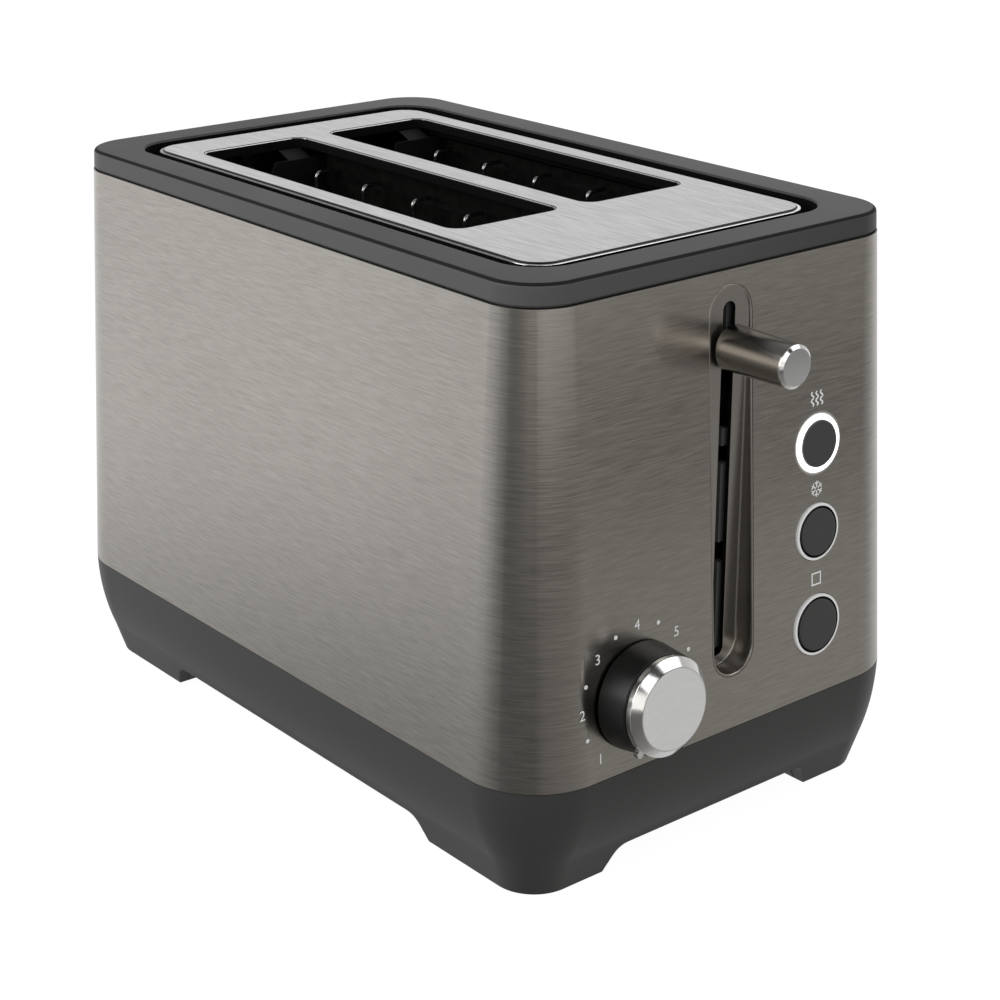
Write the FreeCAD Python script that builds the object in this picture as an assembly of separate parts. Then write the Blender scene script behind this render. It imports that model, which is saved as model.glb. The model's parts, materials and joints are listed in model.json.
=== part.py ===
import FreeCAD, Part
import math
import os
from FreeCAD import Placement, Rotation, Vector

# A two-slice toaster. Millimetres, +Z up, the controls end faces -Y, and the two bread slots run along Y.
# The sizes below are written with the middle of the body at x = 0, y = 0. Every piece is moved along Y
# when it is saved, so that the origin is at the middle of the whole toaster's footprint.

# Outer body: it is narrower at the top than at the bottom
top_width = 158.4
top_length = 258.6
total_height = 201.0
side_slope = 0.057
end_slope = 0.062
top_corner = 17.5
shell_sheet = 0.8
fit_gap = 0.1
joint_gap = 0.4
cut_reach = 60.0
same_point = 1e-6

# Round corners and turned pieces are drawn with narrow flats, so that their sloping sides stay flat
corner_sides = 6
turned_sides = 28
hole_sides = 24
pin_sides = 10
wire_sides = 6

# Moulded base with its four feet
base_height = 41.2
base_wall = 2.6
side_steps = 4
base_floor_top = 12.0
ground_clearance = 8.4
crease_height = 11.7
crease_inset = 6.2
crease_corner = 17.1
foot_inset = 9.6
foot_corner = 14.5
foot_bottom = 0.6
upstand = 4.0
side_arch_floor = 78.8
side_arch_top = 74.0
end_arch_floor = 47.8
end_arch_top = 42.5
arch_round = 4.0
pad_radius = 7.0
pad_thickness = 2.6
pad_x = 64.0
pad_y = 110.0
vent_rows = 7
vent_pitch = 14.0
vent_length = 26.0
vent_width = 3.0

# Dark rim on top, with the groove round the steel plate
rim_side_height = 5.4
rim_edge_round = 1.4
rim_edge_steps = 3
rim_inset = 0.4
rim_opening_width = 130.8
rim_opening_length = 229.4
rim_opening_corner = 15.5
ledge_thickness = 2.0
ledge_reach = 12.0
skirt_depth = 2.5
skirt_wall = 1.6

# Brushed plate with two rolled slots
groove_width = 4.3
plate_drop = 0.5
plate_sheet = 1.0
plate_bevel = 0.9
slot_width = 43.8
slot_length = 149.0
slot_corner = 5.0
slot_spacing = 55.9
slot_middle_y = 15.7
lip_depth = 2.6
lip_roll = 0.5

# Toasting well: end plates, shields, mica cards and ribbons
well_length = 132.6
chassis_sheet = 0.8
chassis_half_width = 62.0
tray_arch_half_width = 54.0
tray_arch_top = 26.0
rack_slot_width = 4.0
rack_slot_margin = 5.5
rack_notch_width = 11.0
rack_notch_depth = 7.0
guide_tab_start = 11.0
guide_tab_width = 9.5
guide_tab_rise = 2.6
guide_tab_run = 6.5
shield_sheet = 0.6
shield_low = 30.0
card_thickness = 0.8
card_below_cage = 4.0
card_top_gap = 8.5
center_card_rise = 3.3
outer_card_x = 57.0
ribbon_width = 1.8
ribbon_thickness = 0.3
ribbon_count = 9
ribbon_end_margin = 5.0

# Guard cages
wire_radius = 0.9
cage_leg_offset = 17.8
cage_top_gap = 11.0
cage_rack_gap = 3.5
cage_hook = 8.2
cage_pitch = 29.5
cage_wires = 5
cage_bars = 3
pivot_rise = 2.0
pivot_overhang = 1.5
pivot_hole = 1.2

# Bread carriage
rack_drop = 8.6
rack_depth = 7.0
rack_thickness = 1.6
rack_bar_length = 18.0
rack_bar_width = 3.0
rack_bar_thickness = 1.4
rack_overhang = 6.0
bracket_thickness = 1.5
bracket_half_width = 34.0
bracket_front = 17.0
bracket_gap = 2.0
bracket_flange = 5.0
arm_thickness = 3.0
arm_height = 8.0
rod_radius = 2.5
rod_x = -13.0
rod_offset = 12.6
rod_above_tab = 3.0
rod_fit = 0.06
rod_seat_radius = 2.56
bushing_radius = 5.0
bushing_flange = 7.0
bushing_length = 24.0
magnet_width = 14.0
magnet_height = 16.0
magnet_x = 18.0
magnet_air_gap = 0.5
armature_thickness = 2.0
spring_radius = 3.2
spring_wire = 0.8
spring_x = 12.0
spring_length = 45.0
spring_gap = 0.3
tab_drop = 7.2
shelf_margin = 8.0

# Lever, its guide and its recess in the front face
recess_width = 19.0
lever_x = 1.4
recess_above_base = 17.5
recess_below_top = 12.0
recess_lip = 0.6
guide_wall = 1.5
slot_cut_width = 5.2
slot_cut_rise = 4.5
slot_cut_drop = 5.6
lever_low_play = 7.9
lever_high_play = 14.3
lever_lift = 6.0
handle_gap = 1.65
handle_base_radius = 7.5
handle_tip_radius = 7.0
handle_length = 26.4
handle_socket = 16.0
cap_bevel = 1.1
cap_stem_radius = 4.0
cap_stem_length = 5.0

# Browning knob
knob_x = -40.5
knob_above_base = 24.0
knob_gap = 0.6
knob_base_radius = 18.0
knob_front_radius = 16.7
knob_body_length = 10.8
collar_radius = 16.3
collar_length = 2.3
knob_cap_bevel = 2.7
knob_cap_length = 2.6
pointer_reach = 2.2
pointer_width = 2.4
shaft_radius = 3.0
shaft_fit = 0.05

# Push buttons with light rings, from the top one down
button_x = 40.3
buttons_above_base = (88.4, 57.6, 24.8)
ring_radii = (9.8, 9.8, 10.7)
button_names = ("reheat", "defrost", "stop")
ring_width = 1.3
ring_proud = 0.8
ring_flange = 1.5
button_gap = 0.4
button_proud = 1.3
button_bevel = 0.5
button_travel = 1.8
button_depth = 7.0
stem_radius = 2.5

# Frame and boards behind the front face
frame_front = 3.0
frame_thickness = 3.0
frame_half_width = 58.0
frame_above_base = 8.8
frame_above_button = 20.4
frame_reach = 10.0
board_depth = 18.4
board_thickness = 1.6
board_slot_gap = 5.0
post_radius = 3.0
leg_half = 3.0
leg_front = 9.0
leg_rear = 15.0
switch_size = 7.0
switch_height = 3.0
pot_radius = 8.5
pot_length = 7.4
pot_neck_radius = 4.5

# Crumb tray
tray_half_width = 49.0
tray_wall = 8.0
tray_sheet = 0.8
tray_clearance = 0.4
tray_handle_drop = 15.2
tray_handle_depth = 8.0
grip_half_width = 22.0
grip_radius = 7.8
grip_above_handle = 1.3
tray_travel = 185.0
window_depth = 40.0
runner_height = 0.9
runner_beyond_well = 30.0

# Contacts, cord entry, mains block and fasteners
contact_x = -44.0
contact_width = 13.0
contact_depth = 13.0
contact_height = 16.0
leaf_height = 7.5
leaf_gap = 1.0
leaf_width = 3.0
gland_x = 45.0
gland_drop = 7.8
gland_bore = 3.6
gland_body = 5.0
gland_flange = 6.4
gland_seat = 1.0
gland_proud = 1.5
gland_inside = 10.0
terminal_x = 56.0
terminal_y = 96.0
terminal_width = 14.0
terminal_length = 22.0
terminal_height = 12.0
screw_radius = 1.75
screw_head = 3.5
screw_head_height = 2.0
screw_x = 66.0
screw_y = 60.0
boss_radius = 5.0
boss_height = 16.0

# Heights and planes that follow from the sizes above
rim_low = total_height - rim_edge_round - rim_side_height
shell_top = rim_low - joint_gap
plate_top = total_height - plate_drop
ledge_top = rim_low + ledge_thickness
well_front = slot_middle_y - well_length / 2
well_rear = slot_middle_y + well_length / 2
chassis_top = rim_low
knob_height = base_height + knob_above_base
button_heights = tuple(base_height + above for above in buttons_above_base)
tray_low = base_floor_top + runner_height + fit_gap
tray_handle_height = base_height - tray_handle_drop - tray_low
recess_low = base_height + recess_above_base
recess_high = total_height - recess_below_top
slot_cut_low = recess_low + slot_cut_rise
slot_cut_high = recess_high - slot_cut_drop
lever_height = slot_cut_high - lever_high_play
lever_travel = lever_height - slot_cut_low - lever_low_play
rack_top = lever_height - rack_drop
rack_lowest_top = rack_top - lever_travel
rack_slot_low = rack_lowest_top - rack_depth - rack_slot_margin
cage_top = total_height - cage_top_gap
cage_low = rack_lowest_top + cage_rack_gap
card_low = cage_low - card_below_cage
card_high = total_height - card_top_gap
tab_height = rim_low - tab_drop
rod_top = tab_height + rod_above_tab
frame_low = base_height + frame_above_base
frame_high = max(button_heights) + frame_above_button
contact_high = rack_lowest_top - leaf_gap - leaf_height
gland_height = base_height - gland_drop
chassis_face = well_front - chassis_sheet
slot_xs = (-slot_spacing / 2, slot_spacing / 2)
pivot_height = cage_low + pivot_rise
magnet_top = rack_lowest_top - armature_thickness - magnet_air_gap
bracket_top = rack_top + bracket_thickness
bracket_rear_y = chassis_face - bracket_gap
bracket_front_y = bracket_rear_y - bracket_front
rod_y = chassis_face - rod_offset
face_angle = math.degrees(math.atan(end_slope))


def half_width(z):
    return top_width / 2 + side_slope * (total_height - z)


def half_length(z):
    return top_length / 2 + end_slope * (total_height - z)


def corner_radius(z):
    return top_corner + (side_slope + end_slope) / 2 * (total_height - z)


# The lever runs straight up and down, so the floor of its recess is upright and meets the face at the top
track_y = -half_length(recess_high)
lever_tip_y = track_y - handle_gap - handle_length - cap_bevel


def base_inset(z):
    """How far the base's side has curved in at height z: one large arc from the shell down to the crease."""
    drop = base_height - crease_height
    arc = (drop ** 2 + crease_inset ** 2) / (2 * crease_inset)
    return arc - math.sqrt(arc ** 2 - (base_height - z) ** 2)


gland_wall_y = half_length(base_height) - base_inset(gland_height)
rear_reach = gland_wall_y + gland_proud
footprint_shift = (-lever_tip_y - rear_reach) / 2


def rounded_outline(half_x, half_y, radius, z, middle_x=0.0, middle_y=0.0):
    """A rectangle with round corners, flat at height z."""
    turn = radius * (1 - math.sqrt(0.5))
    edges = []
    corners = ((1, 1), (-1, 1), (-1, -1), (1, -1))
    for index, (side_x, side_y) in enumerate(corners):
        along_y = Vector(middle_x + side_x * half_x, middle_y + side_y * (half_y - radius), z)
        along_x = Vector(middle_x + side_x * (half_x - radius), middle_y + side_y * half_y, z)
        bend = Vector(middle_x + side_x * (half_x - turn), middle_y + side_y * (half_y - turn), z)
        start, end = (along_y, along_x) if side_x == side_y else (along_x, along_y)
        if edges:
            edges.append(Part.LineSegment(last, start).toShape())
        else:
            first = start
        edges.append(Part.Arc(start, bend, end).toShape())
        last = end
    edges.append(Part.LineSegment(last, first).toShape())
    return Part.Wire(edges)


def rounded_block(half_x, half_y, radius, low, high, middle_x=0.0, middle_y=0.0):
    """A block with round upright corners."""
    outline = rounded_outline(half_x, half_y, radius, low, middle_x, middle_y)
    return Part.Face(outline).extrude(Vector(0, 0, high - low))


def corner_points(half_x, half_y, radius, z):
    """The points of a rectangle whose round corners are narrow flats, flat at height z."""
    points = []
    for corner, (side_x, side_y) in enumerate(((1, 1), (-1, 1), (-1, -1), (1, -1))):
        for step in range(corner_sides + 1):
            angle = math.radians(90 * (corner + step / corner_sides))
            points.append(Vector(side_x * (half_x - radius) + radius * math.cos(angle),
                                 side_y * (half_y - radius) + radius * math.sin(angle), z))
    return points


def flat_face(points):
    return Part.Face(Part.makePolygon(points + points[:1]))


def stacked(outlines, ring=False):
    """A solid through outlines with equal numbers of points. A ring joins its last one to its first."""
    pairs = list(zip(outlines, outlines[1:]))
    faces = []
    if ring:
        pairs.append((outlines[-1], outlines[0]))
    else:
        faces = [flat_face(outlines[0]), flat_face(outlines[-1])]
    for lower, upper in pairs:
        for index in range(len(lower)):
            after = (index + 1) % len(lower)
            corners = [lower[index], lower[after], upper[after], upper[index]]
            corners = [point for place, point in enumerate(corners)
                       if (point - corners[place - 1]).Length > same_point]
            if len(corners) > 2:
                faces.append(flat_face(corners))
    solid = Part.Solid(Part.Shell(faces))
    if solid.Volume < 0:
        solid.reverse()
    return solid.removeSplitter()


def body_points(z, inset):
    """The body's outline at height z, moved inwards by inset."""
    return corner_points(half_width(z) - inset, half_length(z) - inset, corner_radius(z) - inset, z)


def body_block(low, high, inset):
    """The tapered body between two heights, smaller all round by inset."""
    return stacked([body_points(low, inset), body_points(high, inset)])


def block(x_low, x_high, y_low, y_high, z_low, z_high):
    return Part.makeBox(x_high - x_low, y_high - y_low, z_high - z_low, Vector(x_low, y_low, z_low))


def rod(radius, start, end):
    run = end - start
    return Part.makeCylinder(radius, run.Length, start, run)


def turned(profile, sides=turned_sides):
    """A closed profile of (radius, height) points turned about the Z axis."""
    angles = [2 * math.pi * step / sides for step in range(sides)]
    rings = [[Vector(radius * math.cos(angle), radius * math.sin(angle), height) for angle in angles]
             for radius, height in profile]
    return stacked(rings, ring=True)


def pin(radius, low, high, x=0.0, y=0.0, sides=pin_sides):
    """An upright round pin."""
    shape = turned([(0, low), (radius, low), (radius, high), (0, high)], sides)
    shape.translate(Vector(x, y, 0))
    return shape


def on_front(shape, x, z):
    """Seat a shape on the front face: its own +Z points straight out of the sloping face."""
    place = Placement(Vector(x, -half_length(z), z), Rotation(Vector(1, 0, 0), 90 - face_angle))
    seated = shape.copy()
    seated.Placement = place.multiply(seated.Placement)
    return seated


def along_front(shape, y):
    """Turn a shape so that its own +Z points along -Y from the plane at y, at the lever's place."""
    place = Placement(Vector(lever_x, y, lever_height), Rotation(Vector(1, 0, 0), 90))
    turned_shape = shape.copy()
    turned_shape.Placement = place.multiply(turned_shape.Placement)
    return turned_shape


def upright_pill(width, low, high, y_front, y_back):
    """An upright slot shape with round ends at the lever's x, cut straight along Y."""
    radius = width / 2
    half_turn = hole_sides // 2
    points = []
    for middle, start in ((high - radius, 0), (low + radius, 180)):
        for step in range(half_turn + 1):
            angle = math.radians(start + 180 * step / half_turn)
            points.append(Vector(lever_x + radius * math.cos(angle), y_front,
                                 middle + radius * math.sin(angle)))
    return flat_face(points).extrude(Vector(0, y_back - y_front, 0))


def profile_along_x(points, x_low, x_high):
    """An outline of (y, z) points made thick along X."""
    corners = [Vector(x_low, y, z) for y, z in points]
    return Part.Face(Part.makePolygon(corners + corners[:1])).extrude(Vector(x_high - x_low, 0, 0))


def profile_along_y(points, y_low, y_high):
    """An outline of (x, z) points made thick along Y."""
    corners = [Vector(x, y_low, z) for x, z in points]
    return Part.Face(Part.makePolygon(corners + corners[:1])).extrude(Vector(0, y_high - y_low, 0))


def join(shapes):
    shapes = list(shapes)
    return shapes[0].fuse(shapes[1:]).removeSplitter()


def cut(shape, tools):
    return shape.cut(tools)


def bent_wire(points, radius):
    """A wire along straight runs with mitred bends."""
    ring = Part.makeCircle(radius, points[0], points[1] - points[0])
    profile = Part.makePolygon(ring.discretize(wire_sides + 1))
    return Part.makePolygon(points).makePipeShell([profile], True, False, 1)


def save(name, shape):
    moved = shape.copy()
    moved.translate(Vector(0, footprint_shift, 0))
    solids = moved.Solids
    assert solids and moved.isValid(), name
    result = solids[0] if len(solids) == 1 else Part.makeCompound(solids)
    result.exportStep(os.path.join("parts", name + ".step"))
    print(name, len(solids), round(result.Volume, 1))


# Base


def base_points(z, wall=0.0):
    inset = base_inset(z)
    share = inset / crease_inset
    corner = corner_radius(base_height) * (1 - share) + crease_corner * share
    return corner_points(half_width(base_height) - inset - wall, half_length(base_height) - inset - wall,
                         corner - wall, z)


def curved_side(low, wall, steps):
    """The curved part of the base, from the shell down to height low."""
    heights = [low + (base_height - low) * step / steps for step in range(steps + 1)]
    return stacked([base_points(z, wall) for z in heights])


def foot_block():
    sole = corner_points(half_width(base_height) - foot_inset, half_length(base_height) - foot_inset,
                         foot_corner, foot_bottom)
    return stacked([sole, base_points(crease_height)])


def arch(half_floor, half_top, make_profile, low_end, high_end):
    """The gap between two feet, with a round at the top of each foot's end."""
    below = foot_bottom - 1
    points = [(-half_floor, below), (half_floor, below), (half_top, ground_clearance),
              (-half_top, ground_clearance)]
    gap = make_profile(points, low_end, high_end)
    top_edges = [edge for edge in gap.Edges
                 if all(abs(v.Point.z - ground_clearance) < 0.01 for v in edge.Vertexes)
                 and edge.Length > half_top * 0.5 and is_arch_corner(edge, make_profile)]
    return gap.makeFillet(arch_round, top_edges)


def is_arch_corner(edge, make_profile):
    run = edge.Vertexes[1].Point - edge.Vertexes[0].Point
    return abs(run.x) > abs(run.y) if make_profile is profile_along_x else abs(run.y) > abs(run.x)


def corner_places(x, y):
    return [(side_x * x, side_y * y) for side_x in (-1, 1) for side_y in (-1, 1)]


def base():
    """The moulded base: a curved tub with corner feet, a shell upstand, bosses, runners and vents."""
    wide = half_width(0) + cut_reach
    long = half_length(0) + cut_reach
    feet = cut(foot_block(), [
        arch(side_arch_floor, side_arch_top, profile_along_x, -wide, wide),
        arch(end_arch_floor, end_arch_top, profile_along_y, -long, long),
    ])
    tub = cut(join([curved_side(crease_height, 0, side_steps), feet]),
              [curved_side(base_floor_top, base_wall, side_steps - 1)])
    ring_high = base_height + upstand
    ring = cut(body_block(base_height - 1, ring_high, shell_sheet + fit_gap),
               [body_block(base_height - 2, ring_high + 1, base_wall)])
    boss_top = base_floor_top + boss_height
    bosses = [pin(boss_radius, base_floor_top - 1, boss_top, x, y)
              for x, y in corner_places(screw_x, screw_y)]
    bosses.append(pin(rod_radius * 2.4, base_floor_top - 1, boss_top, rod_x, rod_y))
    runner_x = tray_half_width * 0.75
    runners = [block(x - 2, x + 2, well_front, well_rear + runner_beyond_well,
                     base_floor_top - 1, base_floor_top + runner_height)
               for x in (-runner_x, runner_x)]
    body = join([tub, ring] + bosses + runners)
    tools = [pad_shape(x, y, fit_gap) for x, y in corner_places(pad_x, pad_y)]
    tools += [screw_hole(x, y) for x, y in corner_places(screw_x, screw_y)]
    tools.append(rod_hole(base_floor_top, boss_top + 1))
    window_half = tray_half_width + 2 * tray_clearance
    window_low = base_floor_top + runner_height - tray_clearance
    tools.append(block(-window_half, window_half, half_length(0) - window_depth, long, window_low,
                       window_low + tray_handle_height + 2 * tray_clearance))
    beyond = gland_wall_y + cut_reach
    for radius, start in ((gland_body, gland_wall_y - 8), (gland_flange, gland_wall_y - gland_seat)):
        way = pin(radius + fit_gap, 0, beyond - start, sides=hole_sides)
        way.Placement = Placement(Vector(gland_x, start, gland_height), Rotation(Vector(1, 0, 0), -90))
        tools.append(way)
    for row in range(vent_rows):
        y = slot_middle_y + (row - (vent_rows - 1) / 2) * vent_pitch
        for side in (-1, 1):
            x = side * (vent_length / 2 + 3)
            tools.append(block(x - vent_length / 2, x + vent_length / 2, y - vent_width / 2,
                               y + vent_width / 2, ground_clearance - 1, base_floor_top + 1))
    return cut(body, tools)


def rod_hole(low, high):
    """A hole that seats the guide rod. Its flats stand just clear of the rod."""
    return pin(rod_seat_radius, low, high, rod_x, rod_y, hole_sides)


def pad_shape(x, y, grow=0.0):
    return pin(pad_radius + grow, 0, pad_thickness, x, y, turned_sides // 2)


def screw_hole(x, y):
    head = pin(screw_head + 0.3, ground_clearance - 1, ground_clearance + screw_head_height, x, y)
    return head.fuse(pin(screw_radius + fit_gap, ground_clearance, ground_clearance + boss_height, x, y))


def base_screw(x, y):
    head = pin(screw_head, ground_clearance, ground_clearance + screw_head_height, x, y)
    return head.fuse(pin(screw_radius, ground_clearance, ground_clearance + boss_height - 3, x, y))


# Shell, rim and top plate


def outer_shell():
    shell = cut(body_block(base_height, shell_top, 0),
                [body_block(base_height - 1, shell_top + 1, shell_sheet)])
    front = -half_length(0) - cut_reach
    tools = [upright_pill(recess_width, recess_low, recess_high, front, track_y + 10)]
    for height, radius in zip(button_heights, ring_radii):
        tools.append(on_front(pin(radius + fit_gap, -4, 4, sides=turned_sides), button_x, height))
    tools.append(on_front(pin(pot_neck_radius + 0.5, -4, 4, sides=hole_sides), knob_x, knob_height))
    return cut(shell, tools)


def top_rim():
    """The dark rim: a band with a rounded top edge, a ledge for the plate and a skirt inside the shell."""
    side_top = rim_low + rim_side_height
    levels = [(rim_low, rim_inset)]
    for step in range(rim_edge_steps + 1):
        angle = math.radians(90 * step / rim_edge_steps)
        levels.append((side_top + rim_edge_round * math.sin(angle),
                       rim_inset + rim_edge_round * (1 - math.cos(angle))))
    band = stacked([body_points(z, inset) for z, inset in levels])
    half_x = rim_opening_width / 2
    half_y = rim_opening_length / 2
    opening = rounded_block(half_x, half_y, rim_opening_corner, ledge_top, total_height + 1)
    inner = rounded_block(half_x - ledge_reach, half_y - ledge_reach, rim_opening_corner / 2, rim_low - 1,
                          total_height + 1)
    skirt_inset = shell_sheet + fit_gap
    skirt = cut(body_block(rim_low - skirt_depth, rim_low + 0.5, skirt_inset),
                [body_block(rim_low - skirt_depth - 1, rim_low + 1, skirt_inset + skirt_wall)])
    return join([cut(band, [opening, inner]), skirt])


def slot_points(x, grow, z):
    points = corner_points(slot_width / 2 + grow, slot_length / 2 + grow, slot_corner + grow, z)
    return [point + Vector(x, slot_middle_y, 0) for point in points]


def top_plate():
    """The steel plate: a folded edge all round, and two slots whose edges are rolled down into the well."""
    half_x = rim_opening_width / 2 - groove_width
    half_y = rim_opening_length / 2 - groove_width
    corner = rim_opening_corner - groove_width

    def plate_points(z, inset):
        return corner_points(half_x - inset, half_y - inset, corner - inset, z)

    plate = stacked([plate_points(ledge_top, 0), plate_points(plate_top - plate_bevel, 0),
                     plate_points(plate_top, plate_bevel)])
    under_top = plate_top - plate_sheet
    under = stacked([plate_points(ledge_top - 1, plate_sheet), plate_points(under_top, plate_sheet)])
    lip_low = under_top - lip_depth
    lips = [stacked([slot_points(x, plate_sheet, lip_low),
                     slot_points(x, plate_sheet, plate_top - plate_sheet / 2)]) for x in slot_xs]
    ways = [stacked([slot_points(x, 0, lip_low - 1), slot_points(x, 0, plate_top - lip_roll),
                     slot_points(x, lip_roll, plate_top)]) for x in slot_xs]
    return cut(join([cut(plate, [under])] + lips), ways)


# Toasting well


def pivot_x(slot_x, side):
    return slot_x + side * (cage_leg_offset + wire_radius)


def wire_places():
    """Where the cage wires stand along the slot."""
    return [slot_middle_y + (index - (cage_wires - 1) / 2) * cage_pitch for index in range(cage_wires)]


def end_plate(inner_face, outward):
    """A steel end plate of the well. Its notched slots let the bread racks slide up and down."""
    outer_face = inner_face + outward * chassis_sheet
    y_low = min(inner_face, outer_face)
    y_high = max(inner_face, outer_face)
    plate = block(-chassis_half_width, chassis_half_width, y_low, y_high, base_floor_top, chassis_top)
    tools = [block(-tray_arch_half_width, tray_arch_half_width, y_low - 1, y_high + 1, base_floor_top - 1,
                   tray_arch_top)]
    half_slot = rack_slot_width / 2
    half_notch = rack_notch_width / 2
    above = chassis_top + 1
    for x in slot_xs:
        outline = [(x - half_slot, rack_slot_low), (x + half_slot, rack_slot_low),
                   (x + half_slot, chassis_top - rack_notch_depth), (x + half_notch, above),
                   (x - half_notch, above), (x - half_slot, chassis_top - rack_notch_depth)]
        tools.append(profile_along_y(outline, y_low - 1, y_high + 1))
        for side in (-1, 1):
            pivot = Vector(pivot_x(x, side), y_low - 1, pivot_height)
            tools.append(bent_wire([pivot, pivot + Vector(0, y_high - y_low + 2, 0)], pivot_hole))
    plate = cut(plate, tools)
    tabs = []
    for x in slot_xs:
        tab_x = x + guide_tab_start
        start = outer_face
        slope = [(start - outward * chassis_sheet, chassis_top - 0.01), (start, chassis_top - 0.01),
                 (start + outward * guide_tab_run, chassis_top + guide_tab_rise),
                 (start + outward * (guide_tab_run - chassis_sheet), chassis_top + guide_tab_rise)]
        tabs.append(profile_along_x(slope, tab_x, tab_x + guide_tab_width))
    return join([plate] + tabs)


def front_chassis_plate():
    shelf = block(rod_x - shelf_margin, spring_x + shelf_margin, bracket_front_y - shelf_margin - 1,
                  chassis_face, tab_height, tab_height + chassis_sheet)
    return cut(join([end_plate(well_front, -1), shelf]), [rod_hole(tab_height - 1, tab_height + 3)])


def heat_shield(side):
    outer = side * chassis_half_width
    inner = side * (chassis_half_width - shield_sheet)
    return block(min(outer, inner), max(outer, inner), well_front, well_rear, shield_low, chassis_top - 4)


def heater_card(x):
    """A mica card. The one in the middle stands higher, up into the space between the two slots."""
    half = card_thickness / 2
    high = card_high + (center_card_rise if x == 0 else 0)
    return block(x - half, x + half, well_front, well_rear, card_low, high)


def ribbons(x, faces):
    """Flat heating ribbon wound across the card: each pass shows as a straight strip on the card's face."""
    pitch = (card_high - card_low - 2 * ribbon_end_margin) / (ribbon_count - 1)
    strips = []
    for face in faces:
        inner = x + face * card_thickness / 2
        outer = inner + face * ribbon_thickness
        for index in range(ribbon_count):
            z = card_low + ribbon_end_margin + index * pitch
            strips.append(block(min(inner, outer), max(inner, outer), well_front + ribbon_end_margin,
                                well_rear - ribbon_end_margin, z - ribbon_width / 2, z + ribbon_width / 2))
    return Part.makeCompound(strips)


def guard_cage(slot_x, side):
    """One side of a bread guard: hooked upright wires on long bars. The lowest bar is the pivot."""
    leg_x = slot_x + side * cage_leg_offset
    wires = []
    for y in wire_places():
        wires.append(bent_wire([Vector(leg_x, y, cage_low), Vector(leg_x, y, cage_top),
                                Vector(leg_x + side * cage_hook, y, cage_top)], wire_radius))
    bar_x = pivot_x(slot_x, side)
    for index in range(cage_bars):
        z = pivot_height + index * (cage_top - pivot_height - 8) / (cage_bars - 1)
        reach = well_length / 2 - 1.5
        if index == 0:
            reach = well_length / 2 + chassis_sheet + pivot_overhang
        ends = [Vector(bar_x, slot_middle_y + end * reach, z) for end in (-1, 1)]
        wires.append(bent_wire(ends, wire_radius))
    return join(wires)


# Bread carriage


def bread_rack(x):
    half = rack_thickness / 2
    front = bracket_front_y + 4
    strip = block(x - half, x + half, front, well_rear + chassis_sheet + rack_overhang, rack_top - rack_depth,
                  rack_top)
    bars = [block(x - rack_bar_length / 2, x + rack_bar_length / 2, y - rack_bar_width / 2,
                  y + rack_bar_width / 2, rack_top - rack_bar_thickness - 0.6, rack_top - 0.6)
            for y in wire_places()]
    return join([strip] + bars)


def carriage_bracket():
    half = bracket_half_width
    plate = block(-half, half, bracket_front_y, bracket_rear_y, rack_top, bracket_top)
    lug_low = tab_height - spring_length
    lug = block(spring_x - 4, spring_x + 4, bracket_front_y, bracket_front_y + bracket_thickness, lug_low,
                bracket_top)
    flange = block(-half, half, bracket_rear_y - bracket_thickness, bracket_rear_y, bracket_top - 0.1,
                   bracket_top + bracket_flange)
    hole = Part.makeCylinder(bushing_radius + fit_gap, 10, Vector(rod_x, rod_y, rack_top - 4))
    return cut(join([plate, lug, flange]), [hole])


def carriage_bushing():
    """The sleeve that runs on the guide rod. Its flange lies on the bracket."""
    low = rack_top - bushing_length / 2
    high = low + bushing_length
    flange_top = bracket_top + 1.6
    bore = Part.makeCylinder(rod_radius + rod_fit, bushing_length + 2, Vector(rod_x, rod_y, low - 1))
    sleeve = turned([(0, low), (bushing_radius, low), (bushing_radius, bracket_top),
                     (bushing_flange, bracket_top), (bushing_flange, flange_top),
                     (bushing_radius, flange_top), (bushing_radius, high), (0, high)], hole_sides // 2)
    sleeve.translate(Vector(rod_x, rod_y, 0))
    return cut(sleeve, [bore])


def lever_arm():
    half = arm_thickness / 2
    low = lever_height - arm_height / 2
    high = lever_height + arm_height / 2
    tip = track_y - handle_gap - handle_socket
    outline = [(tip, low), (bracket_front_y, low), (bracket_front_y + 3, bracket_top),
               (bracket_rear_y - bracket_thickness, bracket_top), (bracket_rear_y - bracket_thickness, high),
               (tip, high)]
    return profile_along_x(outline, lever_x - half, lever_x + half)


def lever_handle():
    body = turned([(0, 0), (handle_base_radius - 0.8, 0), (handle_base_radius, 0.8),
                   (handle_tip_radius, handle_length), (0, handle_length)])
    body = along_front(body, track_y - handle_gap)
    low = lever_height - arm_height / 2 - fit_gap
    high = lever_height + arm_height / 2 + fit_gap
    half = arm_thickness / 2 + fit_gap
    front = track_y - handle_gap
    socket = block(lever_x - half, lever_x + half, front - handle_socket - fit_gap, front + 1, low, high)
    stem_bore = along_front(pin(cap_stem_radius + fit_gap, handle_length - cap_stem_length - fit_gap,
                                handle_length + 1, sides=turned_sides), track_y - handle_gap)
    return cut(body, [socket, stem_bore])


def lever_cap():
    start = handle_length
    cap = turned([(0, start - cap_stem_length), (cap_stem_radius, start - cap_stem_length),
                  (cap_stem_radius, start), (handle_tip_radius, start),
                  (handle_tip_radius - cap_bevel, start + cap_bevel), (0, start + cap_bevel)])
    return along_front(cap, track_y - handle_gap)


def latch_magnet():
    """The electromagnet that holds the carriage down: a coil on a core with a pole face on top."""
    half = magnet_width / 2
    low = magnet_top - magnet_height
    rear = chassis_face
    coil = block(magnet_x - half, magnet_x + half, rear - magnet_width, rear, low + 2, magnet_top - 2)
    pole = block(magnet_x - half + 3, magnet_x + half - 3, rear - magnet_width + 3, rear - 3, low, magnet_top)
    return join([coil, pole])


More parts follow.
